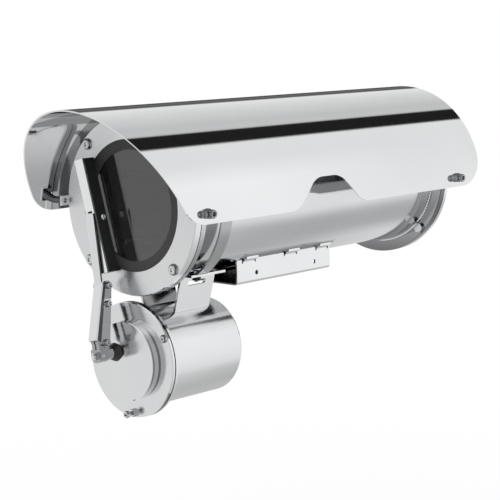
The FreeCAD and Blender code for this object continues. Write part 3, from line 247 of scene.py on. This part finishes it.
# Outlines of the fine pieces. Rings are round, hexagonal or fluted by their number of sides.
ROUND, HEXAGON, KNURLS, GLAND_RIBS = 0, 6, 16, 24
FLUTE_DEPTH = 0.03
THREAD_PITCH = 1.0
THREAD_DEPTH = 0.35
THREAD_CREST = 0.2
THREAD_ROOT = 0.6
UNDER_HEAD = 0.05
HEAD_EDGE = 0.3
BUTTON_EDGE_HEIGHT = 0.25
CAP_EDGE_HEIGHT = 0.35
# Shares of the head's radius and height, then shares of the socket's half width and the height
BUTTON_DOME = ((1.0, 0.32), (0.93, 0.55), (0.80, 0.80), (0.62, 0.97), (0.56, 1.0))
BUTTON_SOCKET = (
    (1.35, 1.0, ROUND), (1.0, 0.94, HEXAGON), (1.0, 0.35, HEXAGON), (0.3, 0.2, ROUND),
)
# Millimetres off the head's radius and height
CAP_EDGES = ((0.0, 0.7, KNURLS), (0.15, 0.55, ROUND), (0.5, 0.0, ROUND))
CAP_MOUTH = 1.4
CAP_CHAMFER = 0.3
CAP_SOCKET = ((1.0, 0.4, HEXAGON), (0.3, 0.35, ROUND))
NUT_BEVEL = 0.96
NUT_BEVEL_HEIGHT = 0.12
NUT_MOUTH = 0.4
GLAND_PROFILE = (
    (5.1, 6.0, ROUND), (10.6, 6.0, ROUND), (11.0, 6.5, ROUND), (11.0, 7.5, GLAND_RIBS),
    (11.0, 15.0, GLAND_RIBS), (10.9, 15.6, ROUND), (9.6, 17.6, ROUND), (8.0, 19.2, ROUND),
    (6.6, 20.0, ROUND), (5.4, 20.0, ROUND), (5.1, 19.6, ROUND),
)


def make_camera():
    """Camera at the photograph's place and angle."""
    a, e = CAMERA_AZIMUTH, CAMERA_ELEVATION
    back = Vector((math.sin(a) * math.cos(e), -math.cos(a) * math.cos(e), math.sin(e)))
    right = Vector((math.cos(a), math.sin(a), 0.0))
    up = back.cross(right)
    c, s = math.cos(CAMERA_ROLL), math.sin(CAMERA_ROLL)
    axes = Matrix((c * right + s * up, c * up - s * right, back)).transposed()
    data = bpy.data.cameras.new("camera")
    data.sensor_width = SENSOR_WIDTH
    data.lens = FOCAL_PIXELS / PICTURE_PIXELS * SENSOR_WIDTH
    data.clip_start, data.clip_end = CAMERA_CLIP
    camera = bpy.data.objects.new("camera", data)
    camera.matrix_world = Matrix.Translation(CAMERA_PLACE) @ axes.to_4x4()
    bpy.context.scene.collection.objects.link(camera)
    bpy.context.scene.camera = camera


class Nodes:
    """One node tree, with short calls for what the materials here need."""

    def __init__(self, tree, keep=False):
        self.tree = tree
        if not keep:
            tree.nodes.clear()

    def add(self, kind, **values):
        node = self.tree.nodes.new(kind)
        for key, value in values.items():
            setattr(node, key, value)
        return node

    def link(self, out, into):
        self.tree.links.new(out, into)

    def math(self, operation, *terms):
        node = self.add("ShaderNodeMath", operation=operation)
        for socket, term in zip(node.inputs, terms):
            if isinstance(term, (int, float)):
                socket.default_value = term
            else:
                self.link(term, socket)
        return node.outputs[0]

    def times(self, first, second):
        return self.math("MULTIPLY", first, second)

    def split(self, vector):
        """X, Y and Z of a vector."""
        node = self.add("ShaderNodeSeparateXYZ")
        self.link(vector, node.inputs[0])
        return [node.outputs[axis] for axis in "XYZ"]

    def place_xyz(self):
        """Place on the object, in metres."""
        return self.split(self.add("ShaderNodeTexCoord").outputs["Object"])

    def facing_xyz(self):
        """Direction that the face looks in."""
        return self.split(self.add("ShaderNodeNewGeometry").outputs["True Normal"])

    def noise(self, place, scale, detail, stretch=(1, 1, 1)):
        mapping = self.add("ShaderNodeMapping")
        mapping.inputs["Scale"].default_value = stretch
        self.link(place, mapping.inputs["Vector"])
        node = self.add("ShaderNodeTexNoise")
        node.inputs["Scale"].default_value = scale
        node.inputs["Detail"].default_value = detail
        self.link(mapping.outputs[0], node.inputs["Vector"])
        return node.outputs["Fac"]

    def remap(self, value, low, high, start=0.0, end=1.0):
        """Low where the value is at the start, high where it is at the end, and even between."""
        node = self.add("ShaderNodeMapRange")
        ends = {"From Min": start, "From Max": end, "To Min": low, "To Max": high}
        for name, number in ends.items():
            node.inputs[name].default_value = number
        self.link(value, node.inputs["Value"])
        return node.outputs[0]

    def blend(self, share, first, second):
        """Colour between two others, each given as a colour or as a socket."""
        node = self.add("ShaderNodeMix", data_type="RGBA")
        sockets = [socket for socket in node.inputs if socket.type == "RGBA"]
        for socket, colour in zip(sockets, (first, second)):
            if isinstance(colour, tuple):
                socket.default_value = (*colour, 1.0)
            else:
                self.link(colour, socket)
        self.link(share, node.inputs[0])
        return next(socket for socket in node.outputs if socket.type == "RGBA")

    def bump(self, height):
        node = self.add("ShaderNodeBump")
        node.inputs["Distance"].default_value = 1.0
        self.link(height, node.inputs["Height"])
        return node.outputs[0]

    def mix(self, share, first, second):
        node = self.add("ShaderNodeMixShader")
        self.link(share, node.inputs[0])
        self.link(first, node.inputs[1])
        self.link(second, node.inputs[2])
        return node.outputs[0]


def new_material(name):
    """Principled material, with its node helper, its shader and the place on the object."""
    material = bpy.data.materials.new(name)
    material.use_nodes = True
    nodes = Nodes(material.node_tree)
    shader = nodes.add("ShaderNodeBsdfPrincipled")
    output = nodes.add("ShaderNodeOutputMaterial")
    nodes.link(shader.outputs[0], output.inputs["Surface"])
    place = nodes.add("ShaderNodeTexCoord").outputs["Object"]
    return material, nodes, shader, place


def metal(name, dark, light, roughness, grain=None, wave=0.0, turned=0.0):
    """Metal whose colour and gloss vary a little, with a fine grain or the slow waves of sheet.

    Turned metal smears reflections across the rings that the lathe left round Y.
    """
    material, nodes, shader, place = new_material(name)
    cloud = nodes.noise(place, *CLOUD_NOISE)
    nodes.link(nodes.blend(cloud, dark, light), shader.inputs["Base Color"])
    shader.inputs["Metallic"].default_value = 1.0
    gloss = nodes.remap(nodes.noise(place, *GLOSS_NOISE), *roughness)
    if turned:
        along = nodes.math("ABSOLUTE", nodes.facing_xyz()[1])
        gloss = nodes.times(gloss, nodes.remap(along, RIM_GLOSS_SHARE, 1.0, *FLAT_FACING))
        shader.inputs["Anisotropic"].default_value = turned
        shader.inputs["Anisotropic Rotation"].default_value = TURNED_ROTATION
        tangent = nodes.add("ShaderNodeTangent", direction_type="RADIAL", axis="Y")
        nodes.link(tangent.outputs[0], shader.inputs["Tangent"])
    nodes.link(gloss, shader.inputs["Roughness"])
    heights = []
    if grain:
        scale, stretch, depth = grain
        heights.append(nodes.times(nodes.noise(place, scale, GRAIN_DETAIL, stretch), depth))
    if wave:
        heights.append(nodes.times(nodes.noise(place, *WAVE_NOISE), wave))
    if heights:
        height = heights[0] if len(heights) == 1 else nodes.math("ADD", *heights)
        nodes.link(nodes.bump(height), shader.inputs["Normal"])
    return material


def dull(name, dark, light, roughness, scale, depth):
    """Rubber, plastic or board: mottled colour and gloss with a fine moulded bump."""
    material, nodes, shader, place = new_material(name)
    cloud = nodes.noise(place, scale, MOULDED_DETAIL)
    nodes.link(nodes.blend(cloud, dark, light), shader.inputs["Base Color"])
    nodes.link(nodes.remap(cloud, *roughness), shader.inputs["Roughness"])
    fine = nodes.times(nodes.noise(place, scale * MOULDED_FINER, GRAIN_DETAIL), depth)
    nodes.link(nodes.bump(fine), shader.inputs["Normal"])
    return material


def window_glass():
    """Flat window, a little grey, with faint smears in its gloss."""
    material, nodes, shader, place = new_material("window_glass")
    smear = nodes.noise(place, *GLASS_NOISE)
    nodes.link(nodes.blend(smear, *GLASS_GREYS), shader.inputs["Base Color"])
    nodes.link(nodes.remap(smear, *GLASS_ROUGHNESS), shader.inputs["Roughness"])
    shader.inputs["Transmission Weight"].default_value = GLASS_TRANSMISSION
    shader.inputs["IOR"].default_value = GLASS_IOR
    return material


def shade_steel(material, find_share, dark=PAINTED_SHADE):
    """Paint shade into a metal's colour, by the share that is found from its nodes."""
    nodes = Nodes(material.node_tree, keep=True)
    base = material.node_tree.nodes["Principled BSDF"].inputs["Base Color"]
    nodes.link(nodes.blend(find_share(nodes), base.links[0].from_socket, dark), base)
    return material


def shield_inside_painted_shade(nodes):
    """1 where shade is painted on the inner face of the sunshield behind the front flange, where
    little light comes.
    """
    x, y, z = nodes.place_xyz()
    across, _, upward = nodes.facing_xyz()
    height = nodes.math("SUBTRACT", z, SHIELD_AXIS_Z)
    outward = nodes.math("ADD", nodes.times(x, across), nodes.times(height, upward))
    inner = nodes.math("LESS_THAN", outward, SHIELD_INWARD)
    return nodes.times(inner, nodes.math("GREATER_THAN", y, SHIELD_LIT_END))


def underside(nodes):
    """Share of painted shade that grows from the sides of a ring to its underside."""
    return nodes.remap(nodes.facing_xyz()[2], *UNDERSIDE_SHARES, *UNDERSIDE_FACINGS)


def collar_painted_shade(nodes):
    """Share of painted shade that grows down the rear collar, and of painted dark reflection that
    is high on the rim of its flange.
    """
    x, _, z = nodes.place_xyz()
    low = nodes.remap(z, *COLLAR_SHARES, *COLLAR_HEIGHTS)
    height = nodes.math("SUBTRACT", z, TUBE_AXIS_Z * MM)
    squares = nodes.math("ADD", nodes.times(x, x), nodes.times(height, height))
    rim = nodes.math("GREATER_THAN", nodes.math("SQRT", squares), REAR_RIM_RADIUS)
    return nodes.math("MAXIMUM", low, nodes.times(rim, REAR_RIM_SHARE))


def cap_wall_painted_reflection(nodes):
    """Share of painted dark reflection on the right side of the raised cap's wall, with a painted
    dark line at its rim and its foot.
    """
    x, y, _ = nodes.place_xyz()
    wall = nodes.remap(nodes.facing_xyz()[0], *CAP_SHARES, *CAP_FACINGS)
    rim = nodes.math("LESS_THAN", y, CAP_RIM_Y)
    foot = nodes.math("GREATER_THAN", y, CAP_FOOT_Y)
    lines = nodes.remap(nodes.math("MAXIMUM", rim, foot), CAP_SHARE_BETWEEN, 1.0)
    return nodes.times(nodes.times(wall, lines), nodes.math("LESS_THAN", x, CAP_REACH))


def slant_painted_reflection(nodes):
    """Share of painted dark reflection on the faces of a screw or nut that slant, for the dark of a
    room that they mirror.
    """
    across, along = (nodes.math("ABSOLUTE", part) for part in nodes.facing_xyz()[:2])
    return nodes.remap(nodes.math("MAXIMUM", across, along), *SLANT_SHARES, *SLANT_FACINGS)


def bracket_painted_shade(nodes):
    """Share of painted shade on the faces of the bracket plates that look up or towards the middle.
    """
    x, _, _ = nodes.place_xyz()
    across, _, upward = nodes.facing_xyz()
    inner = nodes.math("LESS_THAN", nodes.times(x, across), BRACKET_INWARD)
    upper = nodes.math("GREATER_THAN", upward, BRACKET_UPWARD)
    return nodes.times(nodes.math("MAXIMUM", inner, upper), BRACKET_SHARE)


def beside_channel(nodes):
    """Share of the shade along the tube where it meets the channel's walls."""
    _, y, z = nodes.place_xyz()
    channel_low, channel_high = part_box("base_channel")
    near = nodes.remap(z, *TUBE_SHARES, *TUBE_HEIGHTS)
    after = nodes.math("GREATER_THAN", y, channel_low[1])
    before = nodes.math("LESS_THAN", y, channel_high[1])
    return nodes.times(near, nodes.times(after, before))


def arm_painted_shade(nodes):
    """Share of painted shade on the arm's faces that look towards the window and on its right wall.

    The painted shade on the wall is darkest in a band along the bend at its front.
    """
    _, y, z = nodes.place_xyz()
    across, along, _ = nodes.facing_xyz()
    back = nodes.remap(along, *ARM_BACK_SHARES, *ARM_BACK_FACINGS)
    arm_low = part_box("wiper_arm")[0]
    depth = nodes.math("MULTIPLY_ADD", z, -ARM_SLOPE, y)
    band = nodes.math("LESS_THAN", depth, arm_low[1] - ARM_SLOPE * arm_low[2] + ARM_BAND)
    wall = nodes.remap(across, *ARM_WALL_SHARES, *ARM_WALL_FACINGS)
    return nodes.math("MAXIMUM", back, nodes.times(nodes.remap(band, ARM_SHARE_BEYOND, 1.0), wall))


def channel_painted_shade(nodes):
    """1 where shade is painted on the faces inside the base channel."""
    x, _, z = nodes.place_xyz()
    across = nodes.math("LESS_THAN", nodes.math("ABSOLUTE", x), CHANNEL_INSIDE)
    return nodes.times(across, nodes.math("GREATER_THAN", z, CHANNEL_FLOOR))


def shaded_metals():
    """Metals with painted shade and painted dark reflections in places."""
    sheets = (
        ("bracket_steel", (0.08, 0.14), bracket_painted_shade, PAINTED_SHADE),
        ("shield_steel", (0.03, 0.06), shield_inside_painted_shade, PAINTED_DIM_SHADE),
        ("collar_steel", (0.05, 0.09), underside, PAINTED_SHADE),
        ("rear_collar_steel", (0.04, 0.08), collar_painted_shade, PAINTED_SHADE),
        ("arm_steel", (0.07, 0.12), arm_painted_shade, PAINTED_SHADE),
        ("channel_steel", (0.08, 0.14), channel_painted_shade, PAINTED_SHADE),
    )
    return [
        *(shade_steel(metal(name, *BRIGHT, gloss, wave=SHEET_WAVE), find_share, dark)
          for name, gloss, find_share, dark in sheets),
        shade_steel(metal("fastener_steel", *FASTENER_GREYS, (0.05, 0.09)), slant_painted_reflection),
        # Darker steel for the sunshield's screws and nuts.
        shade_steel(metal("dark_fastener_steel", *DARK_FASTENER_GREYS, (0.12, 0.20)), slant_painted_reflection),
        shade_steel(metal("tube_steel", *SATIN, (0.09, 0.15), grain=BRUSHED), beside_channel),
        shade_steel(metal("cover_steel", *BRIGHT, (0.13, 0.18), turned=0.70), cap_wall_painted_reflection),
    ]


def make_materials():
    """All finishes by name. Each has its darkest and lightest colour, then its roughness."""
    materials = [
        *shaded_metals(),
        metal("polished_steel", *BRIGHT, (0.08, 0.14), grain=FINE_GRAIN, wave=SHEET_WAVE),
        metal("turned_steel", *BRIGHT, (0.24, 0.32), turned=0.85),
        metal("drum_steel", (0.79, 0.80, 0.81), (0.85, 0.855, 0.86), (0.14, 0.20)),
        metal("satin_steel", *SATIN, (0.09, 0.15), grain=BRUSHED),
        metal("spine_steel", (0.93, 0.935, 0.94), (0.97, 0.975, 0.98), (0.06, 0.10)),
        metal("strap_steel", *STRAP_GREYS, (0.06, 0.10), wave=SHEET_WAVE),
        metal("hub_steel", (0.40, 0.405, 0.41), (0.50, 0.505, 0.51), (0.08, 0.14)),
        metal("cast_aluminium", (0.58, 0.59, 0.60), (0.70, 0.71, 0.72), (0.35, 0.45)),
        metal("plated_brass", (0.60, 0.58, 0.53), (0.72, 0.70, 0.65), (0.20, 0.30)),
        metal("bronze", (0.50, 0.34, 0.16), (0.64, 0.45, 0.24), (0.30, 0.40)),
        # After the roughness of these come the scale and the depth of the moulded surface.
        dull("black_rubber", *RUBBER_GREYS, (0.55, 0.75), 90.0, 0.00003),
        dull("boot_rubber", *BOOT_GREYS, (0.28, 0.36), 90.0, 0.00002),
        dull("gasket_rubber", *GASKET_GREYS_WITH_PAINTED_SHEEN, (0.60, 0.75), 60.0, 0.00002),
        dull("black_plastic", *PLASTIC_GREYS, (0.30, 0.42), 120.0, 0.00001),
        dull("board_green", (0.01, 0.06, 0.02), (0.02, 0.10, 0.035), (0.35, 0.50), 60.0, 0.00001),
        window_glass(),
    ]
    return {material.name: material for material in materials}


def dress_nodes():
    """Give every CAD node the finish of its slot, or a finer one, in place of its plain one."""
    for material in list(bpy.data.materials):
        bpy.data.materials.remove(material)
    materials = make_materials()
    for row in frame["record"]["subparts"]:
        mesh = frame["nodes"][row["node"]].data
        mesh.materials.clear()
        mesh.materials.append(materials[FINER.get(row["node"], row["material_slot"])])
    return materials


def ring_points(radius, height, sides):
    """One ring of points about local Z."""
    points = []
    for i in range(SEGMENTS):
        angle = 2 * math.pi * i / SEGMENTS
        reach = radius
        if sides == HEXAGON:
            reach = radius / math.cos((angle + math.pi / 6) % (math.pi / 3) - math.pi / 6)
        elif sides:
            reach = radius * (1 - FLUTE_DEPTH + FLUTE_DEPTH * math.cos(sides * angle))
        points.append(Vector((reach * math.cos(angle), reach * math.sin(angle), height)))
    return points


def lathe(name, profile, spots, material, body, replaced=(), closed=False):
    """Piece of rings (radius, height, sides) about each spot, a (place, direction)."""
    points, faces = [], []
    for place, direction in spots:
        turn = Vector(direction).to_track_quat("Z", "Y").to_matrix()
        first = len(points)
        for ring in profile:
            points += [(Vector(place) + turn @ point) * MM for point in ring_points(*ring)]
        rows = len(profile) if closed else len(profile) - 1
        for row in range(rows):
            low = first + row * SEGMENTS
            high = first + (row + 1) % len(profile) * SEGMENTS
            for i in range(SEGMENTS):
                j = (i + 1) % SEGMENTS
                faces.append((low + i, low + j, high + j, high + i))
        if not closed:
            faces.append(tuple(reversed(range(first, first + SEGMENTS))))
            last = first + (len(profile) - 1) * SEGMENTS
            faces.append(tuple(range(last, last + SEGMENTS)))
    piece(name, points, faces, material, body, replaced)


def piece(name, points, faces, material, body, replaced=()):
    """Mesh object that rides on a body and stands for the replaced nodes."""
    mesh = bpy.data.meshes.new(name)
    mesh.from_pydata(points, [], faces)
    mesh.materials.append(material)
    mesh.polygons.foreach_set("use_smooth", [True] * len(mesh.polygons))
    mesh.set_sharp_from_angle(angle=SHARP_ANGLE)
    made = bpy.data.objects.new(name, mesh)
    bpy.context.scene.collection.objects.link(made)
    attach(made, body)
    if replaced:
        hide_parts(*replaced)


def thread(radius, start, end):
    """Rings of a thread from one height to another."""
    rings = []
    count = max(1, round(abs(end - start) / THREAD_PITCH))
    step = (end - start) / count
    for i in range(count):
        rings.append((radius, start + i * step, ROUND))
        rings.append((radius, start + (i + THREAD_CREST) * step, ROUND))
        rings.append((radius - THREAD_DEPTH, start + (i + THREAD_ROOT) * step, ROUND))
    rings.append((radius, end, ROUND))
    return rings


def button_screw(head, height, shank, length, key):
    """Domed screw with a hexagonal socket: head on the origin, shank down local Z."""
    return [
        *thread(shank, -length, -UNDER_HEAD),
        (head - HEAD_EDGE, 0.0, ROUND), (head, BUTTON_EDGE_HEIGHT, ROUND),
        *((wide * head, high * height, ROUND) for wide, high in BUTTON_DOME),
        *((wide * key, high * height, sides) for wide, high, sides in BUTTON_SOCKET),
    ]


def cap_screw(head, height, shank, length, key):
    """Socket cap screw with a knurled head: head on the origin, shank down local Z."""
    return [
        *thread(shank, -length, -UNDER_HEAD),
        (head - HEAD_EDGE, 0.0, ROUND), (head, CAP_EDGE_HEIGHT, KNURLS),
        *((head - inward, height - down, sides) for inward, down, sides in CAP_EDGES),
        (CAP_MOUTH * key, height, ROUND), (key, height - CAP_CHAMFER, HEXAGON),
        *((wide * key, high * height, sides) for wide, high, sides in CAP_SOCKET),
    ]


def hex_nut(flats, height, bore):
    """Hexagonal nut with bevelled corners, standing on the origin."""
    half = flats / 2
    bevel = NUT_BEVEL_HEIGHT * height
    return [
        (bore, 0.0, ROUND), (NUT_BEVEL * half, 0.0, ROUND),
        (half, bevel, HEXAGON), (half, height - bevel, HEXAGON),
        (NUT_BEVEL * half, height, ROUND), (bore + NUT_MOUTH, height, ROUND),
        (bore, height - NUT_MOUTH, ROUND),
    ]


def around(circle, y, axis_z, angles):
    """Places on a circle round a line along Y, at angles from +X up."""
    turns = [math.radians(angle) for angle in angles]
    return [(circle * math.cos(turn), y, axis_z + circle * math.sin(turn)) for turn in turns]


def leaned(place, lean):
    """A place in the frame of the arm or the blade, turned into the frame of the part."""
    x, y, z = place
    c, s = math.cos(lean), math.sin(lean)
    return Vector((x * c - z * s, y, x * s + z * c))


def flange_and_drum_screws(materials):
    steel = materials["fastener_steel"]
    spots = []
    for (y, circle), direction in zip(FLANGE_SCREW_CIRCLES, ((0, -1, 0), (0, 1, 0))):
        spots += [(at, direction) for at in around(circle, y, TUBE_AXIS_Z, FLANGE_SCREW_ANGLES)]
    lathe("flange_screw_heads", button_screw(*FLANGE_SCREW), spots, steel,
          "housing", ["flange_screws"])
    places = around(DRUM_SCREW_CIRCLE, DRUM_COVER_Y, DRUM_AXIS_Z, DRUM_SCREW_ANGLES)
    lathe("drum_screw_heads", button_screw(*DRUM_SCREW), [(at, (0, -1, 0)) for at in places],
          steel, "housing", ["drum_screws"])
    stud = around(DRUM_SCREW_CIRCLE, DRUM_COVER_Y - DRUM_STUD_REACH, DRUM_AXIS_Z, [DRUM_STUD_ANGLE])
    lathe("drum_stud", cap_screw(*DRUM_STUD), [(at, (0, -1, 0)) for at in stud],
          steel, "housing", ["drum_screws"])


def shield_fasteners(materials):
    """Screws and lock nuts outside the sunshield, and the threaded posts inside it."""
    dark_fastener = materials["dark_fastener_steel"]
    screws, nuts = [], []
    for y, _ in POST_STARTS:
        for side in (-1, 1):
            direction = (side, 0, 0)
            screws.append(((side * SHIELD_SCREW_SEAT, y, TUBE_AXIS_Z), direction))
            nuts.append(((side * (SHIELD_SCREW_SEAT - SHIELD_NUT[1]), y, TUBE_AXIS_Z), direction))
    lathe("shield_cap_screws", cap_screw(*SHIELD_SCREW), screws, dark_fastener,
          "housing", ["shield_screws"])
    lathe("shield_lock_nuts", hex_nut(*SHIELD_NUT), nuts, dark_fastener,
          "housing", ["shield_nuts"], closed=True)
    for index, (y, start) in enumerate(POST_STARTS):
        spots = [((side * start, y, TUBE_AXIS_Z), (side, 0, 0)) for side in (-1, 1)]
        rings = thread(POST_RADIUS, 0.0, SHIELD_INSIDE - start)
        lathe("shield_stud_%d" % index, rings, spots, dark_fastener,
              "housing", ["shield_posts"])


def arm_fasteners(materials):
    """Cross screws of the arm, and the pin that the blade rocks on."""
    right = leaned((1, 0, 0), ARM_LEAN)
    places = [leaned((ARM_HALF_WIDTH, y, z), ARM_LEAN) for y, z in ARM_SCREW_PLACES]
    spots = [(ARM_HINGE + place, right) for place in places]
    lathe("arm_cap_screws", cap_screw(*ARM_SCREW), spots, materials["fastener_steel"],
          "arm", ["arm_screws"])
    right = leaned((1, 0, 0), BLADE_LEAN)
    spots = [(BLADE_PIN + leaned((BLADE_HALF_WIDTH, 0, 0), BLADE_LEAN), right)]
    lathe("blade_pin_screw", button_screw(*BLADE_SCREW), spots, materials["spine_steel"],
          "blade", ["blade_pin"])


def gland_cap_pieces(materials):
    """Ribbed clamping caps, with the mouth of each open round its plug."""
    spots = [((x, GLAND_REAR_Y, z), (0, 1, 0)) for x, z in GLAND_PLACES] + [(DRUM_GLAND, (0, 1, 0))]
    lathe("ribbed_gland_caps", GLAND_PROFILE, spots, materials["plated_brass"],
          "housing", ["gland_caps"], closed=True)


def weld_beads(materials):
    """Rippled beads on the seam of the rear collar and between the front collar and the tube."""
    for index, (radius, y, size) in enumerate(WELDS):
        points, faces = [], []
        for i in range(WELD_STEPS):
            angle = 2 * math.pi * i / WELD_STEPS
            ripple = abs(math.sin(angle * WELD_RIPPLES / 2))
            bead = size * (WELD_THINNEST + WELD_SWELL * ripple)
            low, high = i * WELD_SIDES, (i + 1) % WELD_STEPS * WELD_SIDES
            for j in range(WELD_SIDES):
                turn = 2 * math.pi * j / WELD_SIDES
                reach = radius + bead * math.cos(turn)
                points.append(Vector((reach * math.cos(angle), y + bead * math.sin(turn),
                                      TUBE_AXIS_Z + reach * math.sin(angle))) * MM)
                k = (j + 1) % WELD_SIDES
                faces.append((low + j, low + k, high + k, high + j))
        piece("weld_bead_%d" % index, points, faces, materials["polished_steel"],
              "housing")


def make_floor():
    """Pale floor that the camera sees as the white background, with the housing's soft shadow."""
    material = bpy.data.materials.new("floor")
    material.use_nodes = True
    nodes = Nodes(material.node_tree)
    paint = nodes.add("ShaderNodeBsdfDiffuse")
    paint.inputs["Color"].default_value = (FLOOR_GREY, FLOOR_GREY, FLOOR_GREY, 1.0)
    white = nodes.add("ShaderNodeEmission")
    seen = nodes.add("ShaderNodeLightPath").outputs["Is Camera Ray"]
    distance = nodes.add("ShaderNodeVectorMath", operation="LENGTH")
    nodes.link(nodes.add("ShaderNodeTexCoord").outputs["Object"], distance.inputs[0])
    share = nodes.remap(distance.outputs["Value"], *FLOOR_WHITE_SHARES, *FLOOR_WHITE_DISTANCES)
    surface = nodes.mix(nodes.times(seen, share), paint.outputs[0], white.outputs[0])
    nodes.link(surface, nodes.add("ShaderNodeOutputMaterial").inputs["Surface"])
    half = FLOOR_SIZE / 2
    corners = [(-half, -half, 0), (half, -half, 0), (half, half, 0), (-half, half, 0)]
    mesh = bpy.data.meshes.new("floor")
    mesh.from_pydata(corners, [], [(0, 1, 2, 3)])
    mesh.materials.append(material)
    floor = bpy.data.objects.new("floor", mesh)
    floor.location.z = cad_low.z - FLOOR_DROP
    bpy.context.scene.collection.objects.link(floor)
    floor.visible_glossy = False


def card_ramp(nodes, turn, cards):
    """Grey level of the cards at each angle, from a turn of 0 to 1 that starts at -X."""
    ramp = nodes.add("ShaderNodeValToRGB")
    stops = ramp.color_ramp.elements
    while len(stops) < len(cards):
        stops.new(0.5)
    for stop, (angle, level) in zip(stops, cards):
        stop.position = (angle + 180) / 360
        stop.color = (level, level, level, 1.0)
    nodes.link(turn, ramp.inputs[0])
    return ramp.outputs[0]


def make_world():
    """White background, soft even light, and the cards of the studio for gloss and glass."""
    world = bpy.data.worlds.new("studio")
    bpy.context.scene.world = world
    world.use_nodes = True
    nodes = Nodes(world.node_tree)
    x, y, z = nodes.split(nodes.add("ShaderNodeTexCoord").outputs["Generated"])
    turn = nodes.math("MULTIPLY_ADD", nodes.math("ARCTAN2", z, x), 1 / (2 * math.pi), 0.5)
    cards, last = None, None
    for place, card_set in CARD_SETS:
        shown = nodes.add("ShaderNodeBackground")
        nodes.link(card_ramp(nodes, turn, card_set), shown.inputs["Color"])
        if cards is None:
            cards = shown.outputs[0]
        else:
            cards = nodes.mix(nodes.remap(y, 0.0, 1.0, last, place), cards, shown.outputs[0])
        last = place
    soft = nodes.add("ShaderNodeBackground")
    soft.inputs["Color"].default_value = (SOFT_LIGHT, SOFT_LIGHT, SOFT_LIGHT, 1.0)
    white = nodes.add("ShaderNodeBackground")
    white.inputs["Color"].default_value = (1.0, 1.0, 1.0, 1.0)
    path = nodes.add("ShaderNodeLightPath").outputs
    gloss = nodes.math("MAXIMUM", path["Is Glossy Ray"], path["Is Transmission Ray"])
    light = nodes.mix(gloss, soft.outputs[0], cards)
    surface = nodes.mix(path["Is Camera Ray"], light, white.outputs[0])
    nodes.link(surface, nodes.add("ShaderNodeOutputWorld").inputs["Surface"])


def make_lamp():
    """One large soft lamp above the camera. Metals show the cards in place of it."""
    data = bpy.data.lights.new("soft_box", "AREA")
    data.size = LAMP_SIZE
    data.energy = LAMP_WATTS
    lamp = bpy.data.objects.new("soft_box", data)
    lamp.location = LAMP_PLACE
    lamp.rotation_euler = (-LAMP_PLACE).to_track_quat("-Z", "Y").to_euler()
    lamp.visible_glossy = False
    bpy.context.scene.collection.objects.link(lamp)


bpy.context.scene.view_settings.view_transform = "Standard"
make_camera()
make_world()
make_lamp()
materials = dress_nodes()
flange_and_drum_screws(materials)
shield_fasteners(materials)
arm_fasteners(materials)
gland_cap_pieces(materials)
weld_beads(materials)
make_floor()
